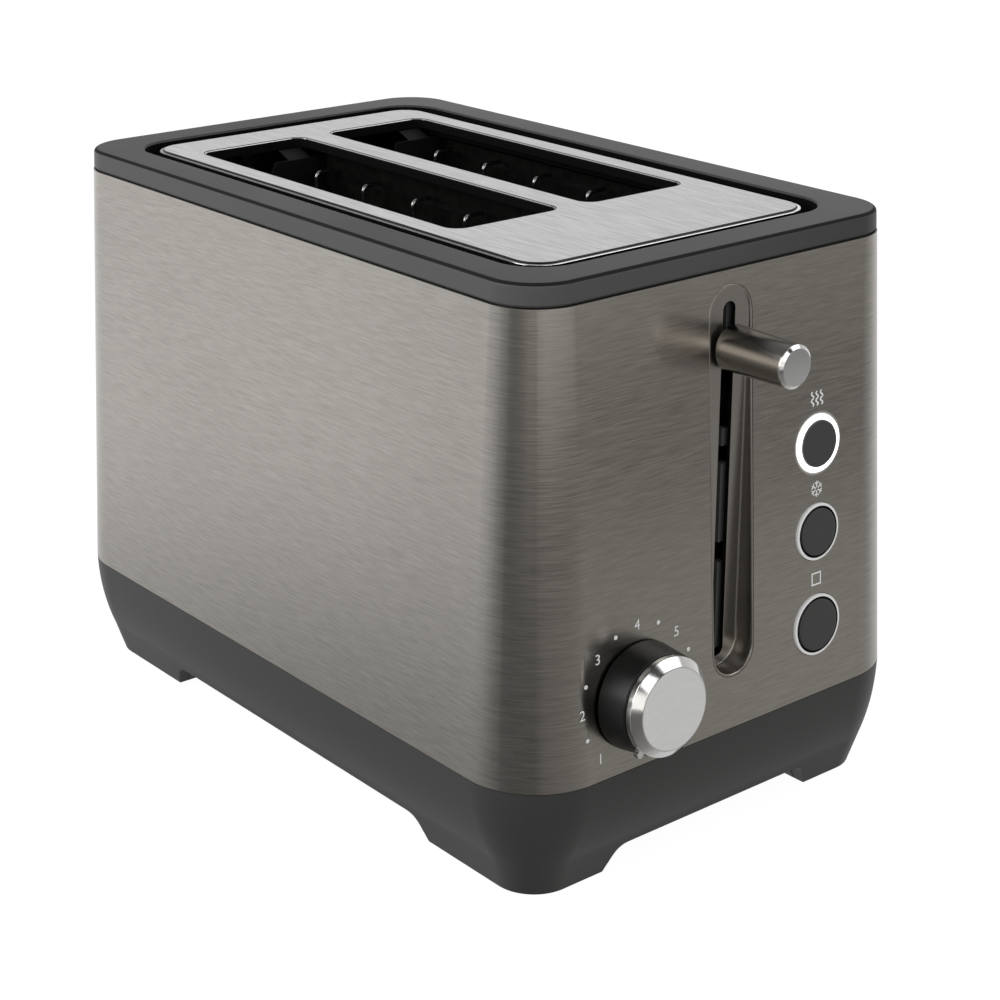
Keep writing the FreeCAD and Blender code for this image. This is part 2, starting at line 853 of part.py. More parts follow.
def armature_plate():
    half = magnet_width / 2
    return block(magnet_x - half, magnet_x + half, bracket_rear_y - magnet_width + 2, bracket_rear_y,
                 rack_top - armature_thickness, rack_top)


def lift_spring():
    low = tab_height - spring_length
    inner = spring_radius - spring_wire
    coil = turned([(inner, low), (spring_radius, low), (spring_radius, tab_height), (inner, tab_height)],
                  hole_sides // 2)
    coil.translate(Vector(spring_x, bracket_front_y - spring_radius - spring_gap, 0))
    return coil


# Controls


def lever_guide():
    """The moulded guide behind the shell: a pocket whose floor falls away from the sloping face."""
    front = -half_length(0) - cut_reach
    back = track_y + guide_wall
    plug = upright_pill(recess_width - 2 * fit_gap, recess_low + fit_gap, recess_high - fit_gap, front, back)
    plug = plug.common(body_block(base_height, shell_top, 0))
    edge = guide_wall + 1.0
    flange = upright_pill(recess_width + 2 * edge, recess_low - edge, recess_high + edge, front, back)
    flange = flange.common(body_block(base_height, shell_top, shell_sheet))
    lip = recess_lip + fit_gap
    pocket = upright_pill(recess_width - 2 * lip, recess_low + lip, recess_high - lip, front, track_y)
    opening = upright_pill(slot_cut_width, slot_cut_low, slot_cut_high, front, back + 1)
    return cut(join([plug, flange]), [pocket, opening])


def knob_body():
    start = knob_gap
    end = knob_gap + knob_body_length
    bore = shaft_radius + 0.02
    return on_front(turned([(bore, start), (knob_base_radius - 0.6, start), (knob_base_radius, start + 0.8),
                            (knob_front_radius, end), (0, end), (0, end - 2), (bore, end - 2)]),
                    knob_x, knob_height)


def knob_collar():
    start = knob_gap + knob_body_length
    end = start + collar_length
    ring = turned([(0, start), (collar_radius, start), (collar_radius, end), (0, end)])
    pointer = block(-pointer_width / 2, pointer_width / 2, collar_radius - 2, collar_radius + pointer_reach,
                    start, end)
    pointer.rotate(Vector(0, 0, 0), Vector(0, 0, 1), 135)
    return on_front(join([ring, pointer]), knob_x, knob_height)


def knob_cap():
    start = knob_gap + knob_body_length + collar_length
    end = start + knob_cap_length
    flat = collar_radius - knob_cap_bevel
    return on_front(turned([(0, start), (collar_radius, start), (flat, end), (0, end)]), knob_x, knob_height)


def knob_shaft():
    high = knob_gap + knob_body_length - 2
    low = -board_depth + 1.5
    return on_front(Part.makeCylinder(shaft_radius, high - low, Vector(0, 0, low)), knob_x, knob_height)


def browning_control():
    """The rotary control that reads the knob's angle: a round can on the board with a threaded neck."""
    low = -board_depth
    can_top = low + pot_length
    neck_top = -shell_sheet - 0.6
    bore = shaft_radius + shaft_fit
    return on_front(turned([(0, low), (pot_radius, low), (pot_radius, can_top), (pot_neck_radius, can_top),
                            (pot_neck_radius, neck_top), (bore, neck_top), (bore, low + 1.2),
                            (0, low + 1.2)]),
                    knob_x, knob_height)


def button_radius(ring_radius):
    return ring_radius - ring_width - button_gap


def light_ring(index):
    radius = ring_radii[index]
    inner = radius - ring_width
    back = -frame_front
    flange_top = -shell_sheet - fit_gap
    return on_front(turned([(inner, back), (radius + ring_flange, back), (radius + ring_flange, flange_top),
                            (radius, flange_top), (radius, ring_proud), (inner, ring_proud)]),
                    button_x, button_heights[index])


def push_button(index):
    radius = button_radius(ring_radii[index])
    stem_end = -board_depth + switch_height + 1.2 + button_travel + 0.2
    return on_front(turned([(0, stem_end), (stem_radius, stem_end), (stem_radius, -button_depth),
                            (radius, -button_depth), (radius, button_proud - button_bevel),
                            (radius - button_bevel, button_proud), (0, button_proud)]),
                    button_x, button_heights[index])


def middle_of_frame():
    return (frame_low + frame_high) / 2


def front_panel(depth_low, depth_high, half_x, low, high):
    """A flat piece parallel to the front face, between two heights."""
    stretch = math.hypot(1, end_slope)
    middle = middle_of_frame()
    panel = block(-half_x, half_x, (low - middle) * stretch, (high - middle) * stretch, depth_low, depth_high)
    return on_front(panel, 0, middle)


def post_places():
    margin = 6.0
    return [(x, z) for x in (-frame_half_width + margin, frame_half_width - margin)
            for z in (frame_low + margin, frame_high - margin)]


def control_frame():
    """The plastic frame behind the shell that carries the rings, buttons, knob and board."""
    back = -frame_front - frame_thickness
    plate = front_panel(back, -frame_front, frame_half_width, frame_low, frame_high)
    posts = [on_front(pin(post_radius, -board_depth, back), x, z) for x, z in post_places()]
    floor_y = -half_length(frame_low)
    legs = [block(x - leg_half, x + leg_half, floor_y + leg_front, floor_y + leg_rear, base_floor_top, z)
            for x, z in post_places() if z < middle_of_frame()]
    wide = recess_width + 2 * guide_wall + 2.0 + 2 * joint_gap
    recess_way = upright_pill(wide, frame_low - cut_reach, frame_high + cut_reach,
                              -half_length(0) - cut_reach, track_y + cut_reach)
    left_and_right = cut(join([plate] + posts + legs), [recess_way])
    bridge = front_panel(back, -frame_front, frame_half_width, frame_low, recess_low - guide_wall - 2)
    holes = [on_front(pin(pot_neck_radius + 0.3, -frame_reach, 2, sides=hole_sides), knob_x, knob_height)]
    for height, radius in zip(button_heights, ring_radii):
        hole = pin(button_radius(radius) + button_gap, -frame_reach, 2, sides=turned_sides)
        holes.append(on_front(hole, button_x, height))
    return cut(join([left_and_right, bridge]), holes)


def control_board():
    board = front_panel(-board_depth - board_thickness, -board_depth, frame_half_width, frame_low, frame_high)
    arm_way = arm_thickness / 2 + board_slot_gap
    slot = block(lever_x - arm_way, lever_x + arm_way, -half_length(0) - cut_reach, track_y + cut_reach,
                 slot_cut_low, frame_high + cut_reach)
    return cut(board, [slot])


def button_switches():
    half = switch_size / 2
    switches = []
    for height in button_heights:
        can = block(-half, half, -half, half, -board_depth, -board_depth + switch_height)
        plunger = pin(1.6, -board_depth + switch_height, -board_depth + switch_height + 1.2)
        switches.append(on_front(can.fuse(plunger), button_x, height))
    return Part.makeCompound(switches)


def board_screws():
    screws = []
    for x, z in post_places():
        head = pin(2.8, -board_depth - board_thickness - 1.6, -board_depth - board_thickness)
        screws.append(on_front(head, x, z))
    return Part.makeCompound(screws)


# Crumb tray, cord entry and mains block


def crumb_tray():
    low = tray_low
    front = well_front + 2
    handle_front = half_length(base_height) - crease_inset - tray_handle_depth
    pan = cut(block(-tray_half_width, tray_half_width, front, handle_front, low, low + tray_wall),
              [block(-tray_half_width + tray_sheet, tray_half_width - tray_sheet, front + tray_sheet,
                     handle_front - tray_sheet, low + tray_sheet, low + tray_wall + 1)])
    handle = block(-tray_half_width, tray_half_width, handle_front, half_length(0) + cut_reach, low,
                   low + tray_handle_height).common(curved_side(crease_height, 0, side_steps))
    grip_y = half_length(base_height)
    grip_z = low + tray_handle_height + grip_above_handle
    grip = rod(grip_radius, Vector(-grip_half_width, grip_y, grip_z), Vector(grip_half_width, grip_y, grip_z))
    return join([pan, cut(handle, [grip])])


def cord_gland():
    """The bushing that the mains lead goes through. Its flange is seated in the base's rear wall."""
    seat = -gland_seat
    gland = turned([(0, -gland_inside), (gland_body, -gland_inside), (gland_body, seat), (gland_flange, seat),
                    (gland_flange, gland_proud), (0, gland_proud)], hole_sides)
    bore = Part.makeCylinder(gland_bore, gland_inside + gland_proud + 2, Vector(0, 0, -gland_inside - 1))
    gland = cut(gland, [bore])
    gland.Placement = Placement(Vector(gland_x, gland_wall_y, gland_height), Rotation(Vector(1, 0, 0), -90))
    return gland


def terminal_block():
    low = base_floor_top
    high = low + terminal_height
    body = block(terminal_x, terminal_x + terminal_width, terminal_y, terminal_y + terminal_length, low, high)
    wells = [block(x, x + 2.5, terminal_y + 4, terminal_y + terminal_length - 4, high - 6, high + 1)
             for x in (terminal_x + 3, terminal_x + 8)]
    return cut(body, wells)


def contact_block():
    """The mains contacts: two leaves that the bracket pushes closed when the carriage is down."""
    rear = chassis_face
    body = block(contact_x, contact_x + contact_width, rear - contact_depth, rear,
                 contact_high - contact_height, contact_high)
    leaves = [block(x, x + leaf_width, rear - contact_depth + 2, rear - contact_depth + 2.6, contact_high,
                    contact_high + leaf_height)
              for x in (contact_x + 2, contact_x + contact_width - 2 - leaf_width)]
    return join([body] + leaves)


def guide_rod():
    return rod(rod_radius, Vector(rod_x, rod_y, base_floor_top), Vector(rod_x, rod_y, rod_top))


def build():
    os.makedirs("parts", exist_ok=True)
    save("base", base())
    save("foot_pads", Part.makeCompound([pad_shape(x, y) for x, y in corner_places(pad_x, pad_y)]))
    save("base_screws", Part.makeCompound([base_screw(x, y) for x, y in corner_places(screw_x, screw_y)]))
    save("outer_shell", outer_shell())
    save("top_rim", top_rim())
    save("top_plate", top_plate())
    save("front_chassis_plate", front_chassis_plate())
    save("rear_chassis_plate", end_plate(well_rear, 1))
    save("left_heat_shield", heat_shield(-1))
    save("right_heat_shield", heat_shield(1))
    cards = (("left", -outer_card_x, (1,)), ("center", 0, (-1, 1)), ("right", outer_card_x, (-1,)))
    for name, x, faces in cards:
        save(name + "_heater_card", heater_card(x))
        save(name + "_heating_ribbons", ribbons(x, faces))
    for name, x in zip(("left", "right"), slot_xs):
        save(name + "_slot_outer_cage" if x < 0 else name + "_slot_inner_cage", guard_cage(x, -1))
        save(name + "_slot_inner_cage" if x < 0 else name + "_slot_outer_cage", guard_cage(x, 1))
        save(name + "_bread_rack", bread_rack(x))
    save("carriage_bracket", carriage_bracket())
    save("carriage_bushing", carriage_bushing())
    save("armature_plate", armature_plate())
    save("lever_arm", lever_arm())
    save("lever_handle", lever_handle())
    save("lever_cap", lever_cap())
    save("guide_rod", guide_rod())
    save("lift_spring", lift_spring())
    save("latch_magnet", latch_magnet())
    save("contact_block", contact_block())
    save("lever_guide", lever_guide())
    save("knob_body", knob_body())
    save("knob_collar", knob_collar())
    save("knob_cap", knob_cap())
    save("knob_shaft", knob_shaft())
    save("browning_control", browning_control())
    for index, name in enumerate(button_names):
        save(name + "_ring", light_ring(index))
        save(name + "_button", push_button(index))
    save("control_frame", control_frame())
    save("control_board", control_board())
    save("button_switches", button_switches())
    save("board_screws", board_screws())
    save("crumb_tray", crumb_tray())
    save("cord_gland", cord_gland())
    save("terminal_block", terminal_block())


build()
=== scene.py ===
# %% [markdown]
# # A two-slice toaster
# The real toaster is a folded steel wrap on a moulded base, with a moulded rim and a steel plate on top.
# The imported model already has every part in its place, so this lesson only dresses it: the round and
# sloping parts are made again as smooth meshes, and every part gets a finish made of shader nodes.

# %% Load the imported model
import bpy
import bmesh
import json
from math import atan, cos, hypot, pi, radians, sin, sqrt
from mathutils import Matrix, Vector


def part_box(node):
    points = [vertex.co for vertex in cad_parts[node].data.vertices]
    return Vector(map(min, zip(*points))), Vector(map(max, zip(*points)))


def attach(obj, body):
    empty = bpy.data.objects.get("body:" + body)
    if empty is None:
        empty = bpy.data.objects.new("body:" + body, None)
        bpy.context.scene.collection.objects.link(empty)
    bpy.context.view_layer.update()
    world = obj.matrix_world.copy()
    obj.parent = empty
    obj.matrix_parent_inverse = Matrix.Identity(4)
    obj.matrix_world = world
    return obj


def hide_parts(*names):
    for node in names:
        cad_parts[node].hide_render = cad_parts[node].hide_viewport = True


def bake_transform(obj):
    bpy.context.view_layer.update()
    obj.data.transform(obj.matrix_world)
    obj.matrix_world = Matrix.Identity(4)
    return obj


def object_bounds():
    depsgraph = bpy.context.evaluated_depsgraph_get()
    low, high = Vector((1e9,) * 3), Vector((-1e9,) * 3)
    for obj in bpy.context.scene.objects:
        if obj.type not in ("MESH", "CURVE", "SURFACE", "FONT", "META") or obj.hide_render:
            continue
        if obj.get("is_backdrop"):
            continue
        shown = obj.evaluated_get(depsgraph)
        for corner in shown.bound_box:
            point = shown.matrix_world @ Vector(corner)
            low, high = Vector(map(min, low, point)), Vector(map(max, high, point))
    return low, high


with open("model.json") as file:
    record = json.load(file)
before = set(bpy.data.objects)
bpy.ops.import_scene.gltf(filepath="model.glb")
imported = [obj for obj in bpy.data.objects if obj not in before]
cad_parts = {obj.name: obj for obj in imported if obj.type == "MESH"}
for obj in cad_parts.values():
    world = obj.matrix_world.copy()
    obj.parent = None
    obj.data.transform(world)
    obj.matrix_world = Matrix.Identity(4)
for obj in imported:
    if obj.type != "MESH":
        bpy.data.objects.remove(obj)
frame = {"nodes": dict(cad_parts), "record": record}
cad_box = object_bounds()
scene = bpy.context.scene

# %% [markdown]
# ## One set of sizes
# The toaster was drawn in millimetres about the middle of its body. Blender works in metres about the middle
# of the whole footprint, which the lever's reach pushes a little to the back. One helper changes the one into
# the other, so every number below can be read as a size on the real object.

# %% Millimetres on the body, metres in the scene
MM = 0.001
shell_low, shell_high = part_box("outer_shell")
body_middle = (shell_low.y + shell_high.y) / 2
total_height = 201.0
base_top, widest_z = 40.6, 41.2
top_half_width, top_half_length, top_corner = 79.2, 129.3, 17.5
side_slope, end_slope, corner_slope = 0.057, 0.062, 0.0595
lean = atan(end_slope)
lever_x = 1.4


def at(x, y, z):
    return Vector((x * MM, y * MM + body_middle, z * MM))


def half_width(z):
    return top_half_width + side_slope * (total_height - z)


def half_length(z):
    return top_half_length + end_slope * (total_height - z)


def body_corner(z):
    return top_corner + corner_slope * (total_height - z)


def face_y(z):
    return -half_length(z)


print("the body's middle is", round(body_middle / MM, 2), "mm behind the footprint's middle")

# %% [markdown]
# ## The camera
# The photograph was taken from the front left and a little above, with a long lens. A camera is placed by its
# position and three turns, so the turns are applied in the order in which a tripod makes them: the head pans,
# then tilts, then rolls. No depth of field is used, because the whole toaster is sharp.

# %% Place the camera


def linked(name, data):
    """An object for a camera, a lamp or a mesh, put into the scene."""
    made = bpy.data.objects.new(name, data)
    scene.collection.objects.link(made)
    return made


pan, tilt, roll = radians(39.364), radians(-21.143), radians(-0.126)
camera_place = at(-464.0, -585.7, 368.4)
camera = linked("camera", bpy.data.cameras.new("camera"))
camera.data.lens = 78.5
camera.data.sensor_width = 36.0
camera.matrix_world = (Matrix.Translation(camera_place) @ Matrix.Rotation(-pan, 4, "Z")
                       @ Matrix.Rotation(pi / 2 + tilt, 4, "X") @ Matrix.Rotation(roll, 4, "Z"))
scene.camera = camera
print("camera at", [round(v, 3) for v in camera.matrix_world.translation])

# %% [markdown]
# ## Shader maths as plain expressions
# A finish is a small network of nodes, and wiring it by hand hides what it means. Here one class stands for a
# number on its way through the network, so that grain * 0.5 + 0.2 can be written as it is thought of. The
# other class keeps a network and has one method that makes any node: its type, its settings, its sockets.

# %% The two shader tools


class Value:
    """A number or colour that varies over a surface. Sums and products with it add Math nodes."""

    def __init__(self, book, socket):
        self.book = book
        self.socket = socket

    def math(self, operation, first, second):
        return self.book.node("Math", {"operation": operation}, {0: first, 1: second})

    def __add__(self, other):
        return self.math("ADD", self, other)

    def __radd__(self, other):
        return self.math("ADD", other, self)

    def __sub__(self, other):
        return self.math("SUBTRACT", self, other)

    def __rsub__(self, other):
        return self.math("SUBTRACT", other, self)

    def __mul__(self, other):
        return self.math("MULTIPLY", self, other)

    def __rmul__(self, other):
        return self.math("MULTIPLY", other, self)

    def over(self, limit):
        """One where the value is above the limit, and nought elsewhere."""
        return self.math("GREATER_THAN", self, limit)


class NodeBook:
    """A node tree with one method that makes nodes, and short names for the ones that are used most."""

    def __init__(self, tree):
        self.tree = tree

    def node(self, kind, settings=None, sockets=None, output=0):
        made = self.tree.nodes.new("ShaderNode" + kind)
        for name, setting in (settings or {}).items():
            if name == "stops":
                stops = made.color_ramp.elements
                while len(stops) < len(setting):
                    stops.new(1.0)
                for stop, (place, colour) in zip(stops, setting):
                    stop.position, stop.color = place, colour
            else:
                setattr(made, name, setting)
        for name, given in (sockets or {}).items():
            self.feed(made.inputs[name], given)
        return Value(self, made.outputs[output])

    def feed(self, socket, given):
        if isinstance(given, Value):
            self.tree.links.new(given.socket, socket)
        else:
            socket.default_value = given

    def where(self):
        """The point of the surface, in the object's own metres."""
        return self.node("TexCoord", output="Object")

    def axis(self, vector, name):
        return self.node("SeparateXYZ", {}, {0: vector}, name)

    def noise(self, scale, detail=2.0, shift=0.0):
        """Noise stretched by a scale per metre along X, Y and Z: 1000 has a grain of about a millimetre."""
        stretched = self.node("VectorMath", {"operation": "MULTIPLY_ADD"},
                              {0: self.where(), 1: scale, 2: (shift, shift, shift)})
        return self.node("TexNoise", {}, {"Vector": stretched, "Scale": 1.0, "Detail": detail}, "Fac")

    def even_noise(self, scale, detail=2.0):
        return self.noise((scale, scale, scale), detail)

    def scratches(self, scale):
        """Fine lines without slow change: one noise minus the same noise half a grain away."""
        return self.noise(scale, 1.0) - self.noise(scale, 1.0, shift=0.5)

    def spread(self, value, low, high, to_low=0.0, to_high=1.0):
        return self.node("MapRange", {"interpolation_type": "SMOOTHSTEP"},
                         {"Value": value, "From Min": low, "From Max": high, "To Min": to_low, "To Max": to_high})

    def mix(self, share, first, second):
        return self.node("Mix", {"data_type": "RGBA"}, {0: share, 6: first, 7: second}, 2)


class Finish(NodeBook):
    """A material for one kind of surface. Its steady numbers sit on the shader's own sockets."""

    def __init__(self, name, **steady):
        self.material = bpy.data.materials.new(name)
        self.material.use_nodes = True
        super().__init__(self.material.node_tree)
        self.shader = self.tree.nodes["Principled BSDF"]
        for socket, number in steady.items():
            self.shader.inputs[socket.replace("_", " ")].default_value = number

    def wear(self, colour=None, roughness=None, height=None, depth=0.00002, strength=0.5):
        if colour:
            self.feed(self.shader.inputs["Base Color"], colour)
        if roughness:
            self.feed(self.shader.inputs["Roughness"], roughness)
        if height:
            bump = self.node("Bump", {}, {"Strength": strength, "Distance": depth, "Height": height}, "Normal")
            self.feed(self.shader.inputs["Normal"], bump)
        return self


def grey(level, tint=(1, 1, 1)):
    return (level * tint[0], level * tint[1], level * tint[2], 1)


print("shader tools ready")

# %% [markdown]
# ## The studio
# The photograph has a white ground with hardly a shadow, and the steel mirrors a room that is white behind
# and to the left, and darker in front. Light Path tells the world which ray asks: the camera sees plain white,
# and polished metal sees a soft room whose brightness changes slowly round the horizon. The steel mirrors the
# floor most of all, so the floor glows in three rings, near, middle and far, each with tones of its own. Lamps
# could draw such bands too, but each one would also throw a shadow.

# %% World and floor
scene.view_settings.view_transform = "Standard"
scene.world = bpy.data.worlds.new("studio")
scene.world.use_nodes = True
room = NodeBook(scene.world.node_tree)
ground_light = scene.world.node_tree.nodes["Background"]


def ray(book, kind):
    return book.node("LightPath", output="Is " + kind + " Ray")


def horizon(angle):
    """The place on the ramp of a direction, in degrees from +X towards +Y."""
    return ((angle + 180) % 360) / 360


plain, warm = (1, 1, 1), (1.03, 1.0, 0.95)


def round_the_room(book, direction, levels):
    """The room's tone in a direction, from (angle, level) pairs round the horizon."""
    x, y = [book.axis(direction, name) for name in "XY"]
    turn = book.node("Math", {"operation": "ARCTAN2"}, {0: y, 1: x}) * (0.5 / pi) + 0.5
    stops = sorted((horizon(angle), grey(level, warm if 200 < angle < 345 else plain)) for angle, level in levels)
    return book.node("ValToRGB", {"stops": stops}, {"Fac": turn})


# On the left the near ring is much darker than the rings beyond it: painted shade of the toaster on the floor next to
# it.
near_floor = ((120, 0.18), (127, 0.07), (130, 0.04), (140, 0.08), (150, 0.04), (160, 0.03), (170, 0.06),
              (179.9, 0.08), (190, 0.10), (210, 0.08), (230, 0.08), (240, 0.15), (260, 0.20), (280, 0.26),
              (300, 0.33), (318, 0.42), (330, 0.42), (345, 0.48), (360, 0.60), (60, 0.60))
mid_floor = ((60, 0.90), (120, 1.05), (127, 1.03), (131, 0.92), (140, 0.82), (150, 0.68), (160, 0.48), (170, 0.28),
             (179.9, 0.18), (190, 0.14), (220, 0.16), (234, 0.10), (240, 0.06), (260, 0.05), (290, 0.06),
             (305, 0.09), (312, 0.12), (320, 0.14), (332, 0.34), (345, 0.52), (360, 0.75))
far_floor = ((60, 0.95), (120, 1.05), (127, 1.00), (131, 0.80), (140, 0.58), (160, 0.42), (170, 0.24),
             (179.9, 0.15), (190, 0.12), (210, 0.18), (220, 0.30), (229, 0.32), (232, 0.29), (235, 0.60),
             (250, 0.76), (280, 0.84), (300, 0.78), (309, 0.64), (312, 0.42), (320, 0.38), (332, 0.46),
             (345, 0.60), (360, 0.80))
far_walls = ((45, 0.98), (90, 0.95), (120, 1.05), (127, 1.00), (140, 0.60), (160, 0.45), (179.9, 0.25),
             (195, 0.50), (215, 1.10), (235, 1.20), (250, 0.90), (280, 0.50), (310, 0.45), (335, 0.55))
high_walls = ((45, 0.98), (90, 0.95), (120, 0.95), (140, 0.50), (160, 0.30), (179.9, 0.20), (195, 0.50),
              (215, 1.10), (235, 1.20), (250, 0.80), (280, 0.30), (310, 0.34), (335, 0.50))
ceiling = ((45, 0.70), (120, 0.40), (179.9, 0.20), (215, 0.05), (310, 0.05), (345, 0.30))
looking = room.node("TexCoord", output="Generated")
height = room.axis(looking, "Z")
low, high, top = [round_the_room(room, looking, levels) for levels in (far_walls, high_walls, ceiling)]
mirrored = room.mix(room.spread(height, 0.34, 0.52), room.mix(room.spread(height, 0.06, 0.20), low, high), top)
# A small bright patch in the room, seen only in reflections: a painted highlight, as of a lamp to the front right and
# above.
glint_way = (0.59, -0.36, 0.72)
to_glint = room.node("VectorMath", {"operation": "DOT_PRODUCT"}, {0: looking, 1: glint_way}, 1)
mirrored = room.mix(room.spread(to_glint, 0.90, 0.97), mirrored, grey(2.2))
soft_light = room.mix(ray(room, "Glossy"), grey(0.62), mirrored)
white = ray(room, "Camera") + ray(room, "Transmission")
room.feed(ground_light.inputs["Color"], room.mix(white, soft_light, grey(1.0)))


def circle(radius, steps, x=0.0, y=0.0):
    """Points evenly round a centre."""
    return [(x + radius * cos(2 * pi * i / steps), y + radius * sin(2 * pi * i / steps)) for i in range(steps)]


floor_mesh = bpy.data.meshes.new("floor")
floor_steps, floor_reach = 96, 9.0
floor_mesh.from_pydata([(x, y, 0) for x, y in circle(floor_reach, floor_steps)], [], [tuple(range(floor_steps))])
floor = linked("floor", floor_mesh)
paper = Finish("studio_paper", Roughness=0.9)
paper.wear(colour=paper.mix(paper.even_noise(30), grey(0.76), grey(0.80)))
incoming, position = [paper.node("NewGeometry", output=name) for name in ("Incoming", "Position")]
towards = paper.node("VectorMath", {"operation": "SCALE"}, {0: incoming, 3: -1.0})
from_middle = paper.node("VectorMath", {"operation": "LENGTH"}, {0: position}, 1)
near_reach = ((170, 0.0), (235, 0.55), (325, 0.55), (345, 0.1), (60, 0.0))
reach, near, middle, far = [round_the_room(paper, towards, levels)
                            for levels in (near_reach, near_floor, mid_floor, far_floor)]
sheet_tone = paper.mix(paper.spread(from_middle, reach - 0.15, reach * 0.27 + 0.55), near, middle)
sheet_tone = paper.mix(paper.spread(from_middle, 0.63, 1.25), sheet_tone, far)
glow = paper.node("Emission", {}, {"Color": paper.mix(ray(paper, "Glossy"), grey(1.10), sheet_tone),
                                   "Strength": 1.0}, "Emission")
seen = ray(paper, "Camera") * 0.88 + ray(paper, "Transmission") * 0.88 + ray(paper, "Glossy") * 0.92
paper_out = paper.node("MixShader", {}, {0: seen, 1: Value(paper, paper.shader.outputs[0]), 2: glow})
paper.feed(paper.tree.nodes["Material Output"].inputs["Surface"], paper_out)
floor_mesh.materials.append(paper.material)
floor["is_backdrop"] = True
print("floor reaches", floor_reach, "m")

# %% [markdown]
# A large soft box hangs over the left of the toaster, as in the photograph, and a weak one fills the front.

# %% Lamps


def soft_box(name, place, size, power):
    lamp = bpy.data.lights.new(name, "AREA")
    lamp.shape = "SQUARE"
    lamp.size = size
    lamp.energy = power
    stand = linked(name, lamp)
    stand.location = place
    stand.rotation_euler = (Vector((0, 0, 0.1)) - Vector(place)).to_track_quat("-Z", "Y").to_euler()
    print(name, power, "W")


soft_box("soft_box_left", (-1.35, 0.35, 0.85), 1.1, 11.0)
soft_box("soft_box_front", (-0.3, -1.5, 1.0), 0.8, 3.0)

# %% [markdown]
# ## Mesh tools
# Nearly every part of this toaster is one of three forms: a rounded rectangle that changes as it rises, a
# turned profile, or a bent wire. Each is a list of rows of points with a skin between them, which gives clean
# quads and a true taper. The openings are cut with exact booleans, as a punch would cut them.

# %% Rows, skins and cuts
same_point = 1e-7


def outline(half_x, half_y, radius, z, middle=(0.0, 0.0), steps=18):
    """A rectangle with round corners, as points at one height."""
    points = []
    for corner, (side_x, side_y) in enumerate(((1, 1), (-1, 1), (-1, -1), (1, -1))):
        for step in range(steps + 1):
            angle = pi / 2 * (corner + step / steps)
            points.append((middle[0] + side_x * (half_x - radius) + radius * cos(angle),
                           middle[1] + side_y * (half_y - radius) + radius * sin(angle), z))
    return points


def body_outline(z, inset=0.0):
    return outline(half_width(z) - inset, half_length(z) - inset, body_corner(z) - inset, z)


def softened(path, radius, steps=4, closed=False):
    """A line of 2-D or 3-D points whose corners are rounded."""
    path = [Vector(p) for p in path]
    count = len(path)
    result = []
    for index, point in enumerate(path):
        if not closed and index in (0, count - 1):
            result.append(point)
            continue
        before = path[index - 1] - point
        after = path[(index + 1) % count] - point
        reach = min(radius, before.length * 0.45, after.length * 0.45)
        start = point + before.normalized() * reach
        end = point + after.normalized() * reach
        for step in range(steps + 1):
            t = step / steps
            result.append(start * (1 - t) ** 2 + point * (2 * t * (1 - t)) + end * t ** 2)
    return [tuple(p) for p in result]


def draft(points, faces):
    """An edit mesh from points in body millimetres."""
    mesh = bpy.data.meshes.new("draft")
    mesh.from_pydata([at(*p) for p in points], [], faces)
    work = bmesh.new()
    work.from_mesh(mesh)
    bpy.data.meshes.remove(mesh)
    return work


def final(name, work):
    """An object from an edit mesh."""
    mesh = bpy.data.meshes.new(name)
    work.to_mesh(mesh)
    work.free()
    return linked(name, mesh)


def strips(rows, first=0, ring=False):
    """The faces between rows with equal numbers of points, which are counted on from the first."""
    width = len(rows[0])
    faces = []
    for row in range(len(rows) if ring else len(rows) - 1):
        low, high = first + row * width, first + (row + 1) % len(rows) * width
        for index in range(width):
            after = (index + 1) % width
            faces.append((low + index, low + after, high + after, high + index))
    return faces


def skin(name, rows, ring=False):
    """A closed form through rows of points. A ring has no end caps."""
    points = [point for row in rows for point in row]
    faces = strips(rows, ring=ring)
    if not ring:
        width = len(rows[0])
        faces += [tuple(range(width)), tuple(range(len(points) - width, len(points)))]
    work = draft(points, faces)
    bmesh.ops.remove_doubles(work, verts=work.verts, dist=same_point)
    bmesh.ops.dissolve_degenerate(work, edges=work.edges, dist=same_point / 10)
    bmesh.ops.recalc_face_normals(work, faces=work.faces)
    return final(name, work)


def turned(name, profile, place, ring=False, steps=72):
    """A profile of (radius, rise) turned about the axis of a place, such as the front face."""
    return skin(name, [[place(a, b, rise) for a, b in circle(radius, steps)] for radius, rise in profile], ring)


def on_face(x, z):
    """(across, up, out) on the sloping front face about a point of it, as body millimetres."""
    origin = Vector((x, face_y(z), z))
    up = Vector((0, sin(lean), cos(lean)))
    out = Vector((0, -cos(lean), sin(lean)))
    return lambda across, rise, proud: tuple(origin + Vector((across, 0, 0)) + up * rise + out * proud)


def along_front(y, z, x=0.0):
    return lambda across, rise, proud: (x + across, y - proud, z + rise)


def along_rear(y, z, x=0.0):
    return lambda across, rise, proud: (x + across, y + proud, z + rise)


def upright(x, y):
    return lambda across, back, rise: (x + across, y + back, rise)


def along_x(across, rise, depth):
    return (depth, across, rise)


def along_y(across, rise, depth):
    return (across, depth, rise)


def prism(name, path, place, low, high):
    """A closed flat outline made thick along the axis of a place."""
    return skin(name, [[place(a, b, depth) for a, b in path] for depth in (low, high)])


def box_path(x_low, x_high, y_low, y_high, radius=0.0):
    path = [(x_low, y_low), (x_high, y_low), (x_high, y_high), (x_low, y_high)]
    return softened(path, radius, closed=True) if radius else path


def joined(name, objects):
    """Several closed forms that don't touch, kept as one mesh."""
    work = bmesh.new()
    for each in objects:
        work.from_mesh(each.data)
        bpy.data.objects.remove(each)
    return final(name, work)


def settled(target):
    """Applies a piece's modifiers, so that its mesh is its final form."""
    bpy.context.view_layer.update()
    ready = target.evaluated_get(bpy.context.evaluated_depsgraph_get())
    mesh = bpy.data.meshes.new_from_object(ready)
    target.modifiers.clear()
    target.data = mesh
    return target


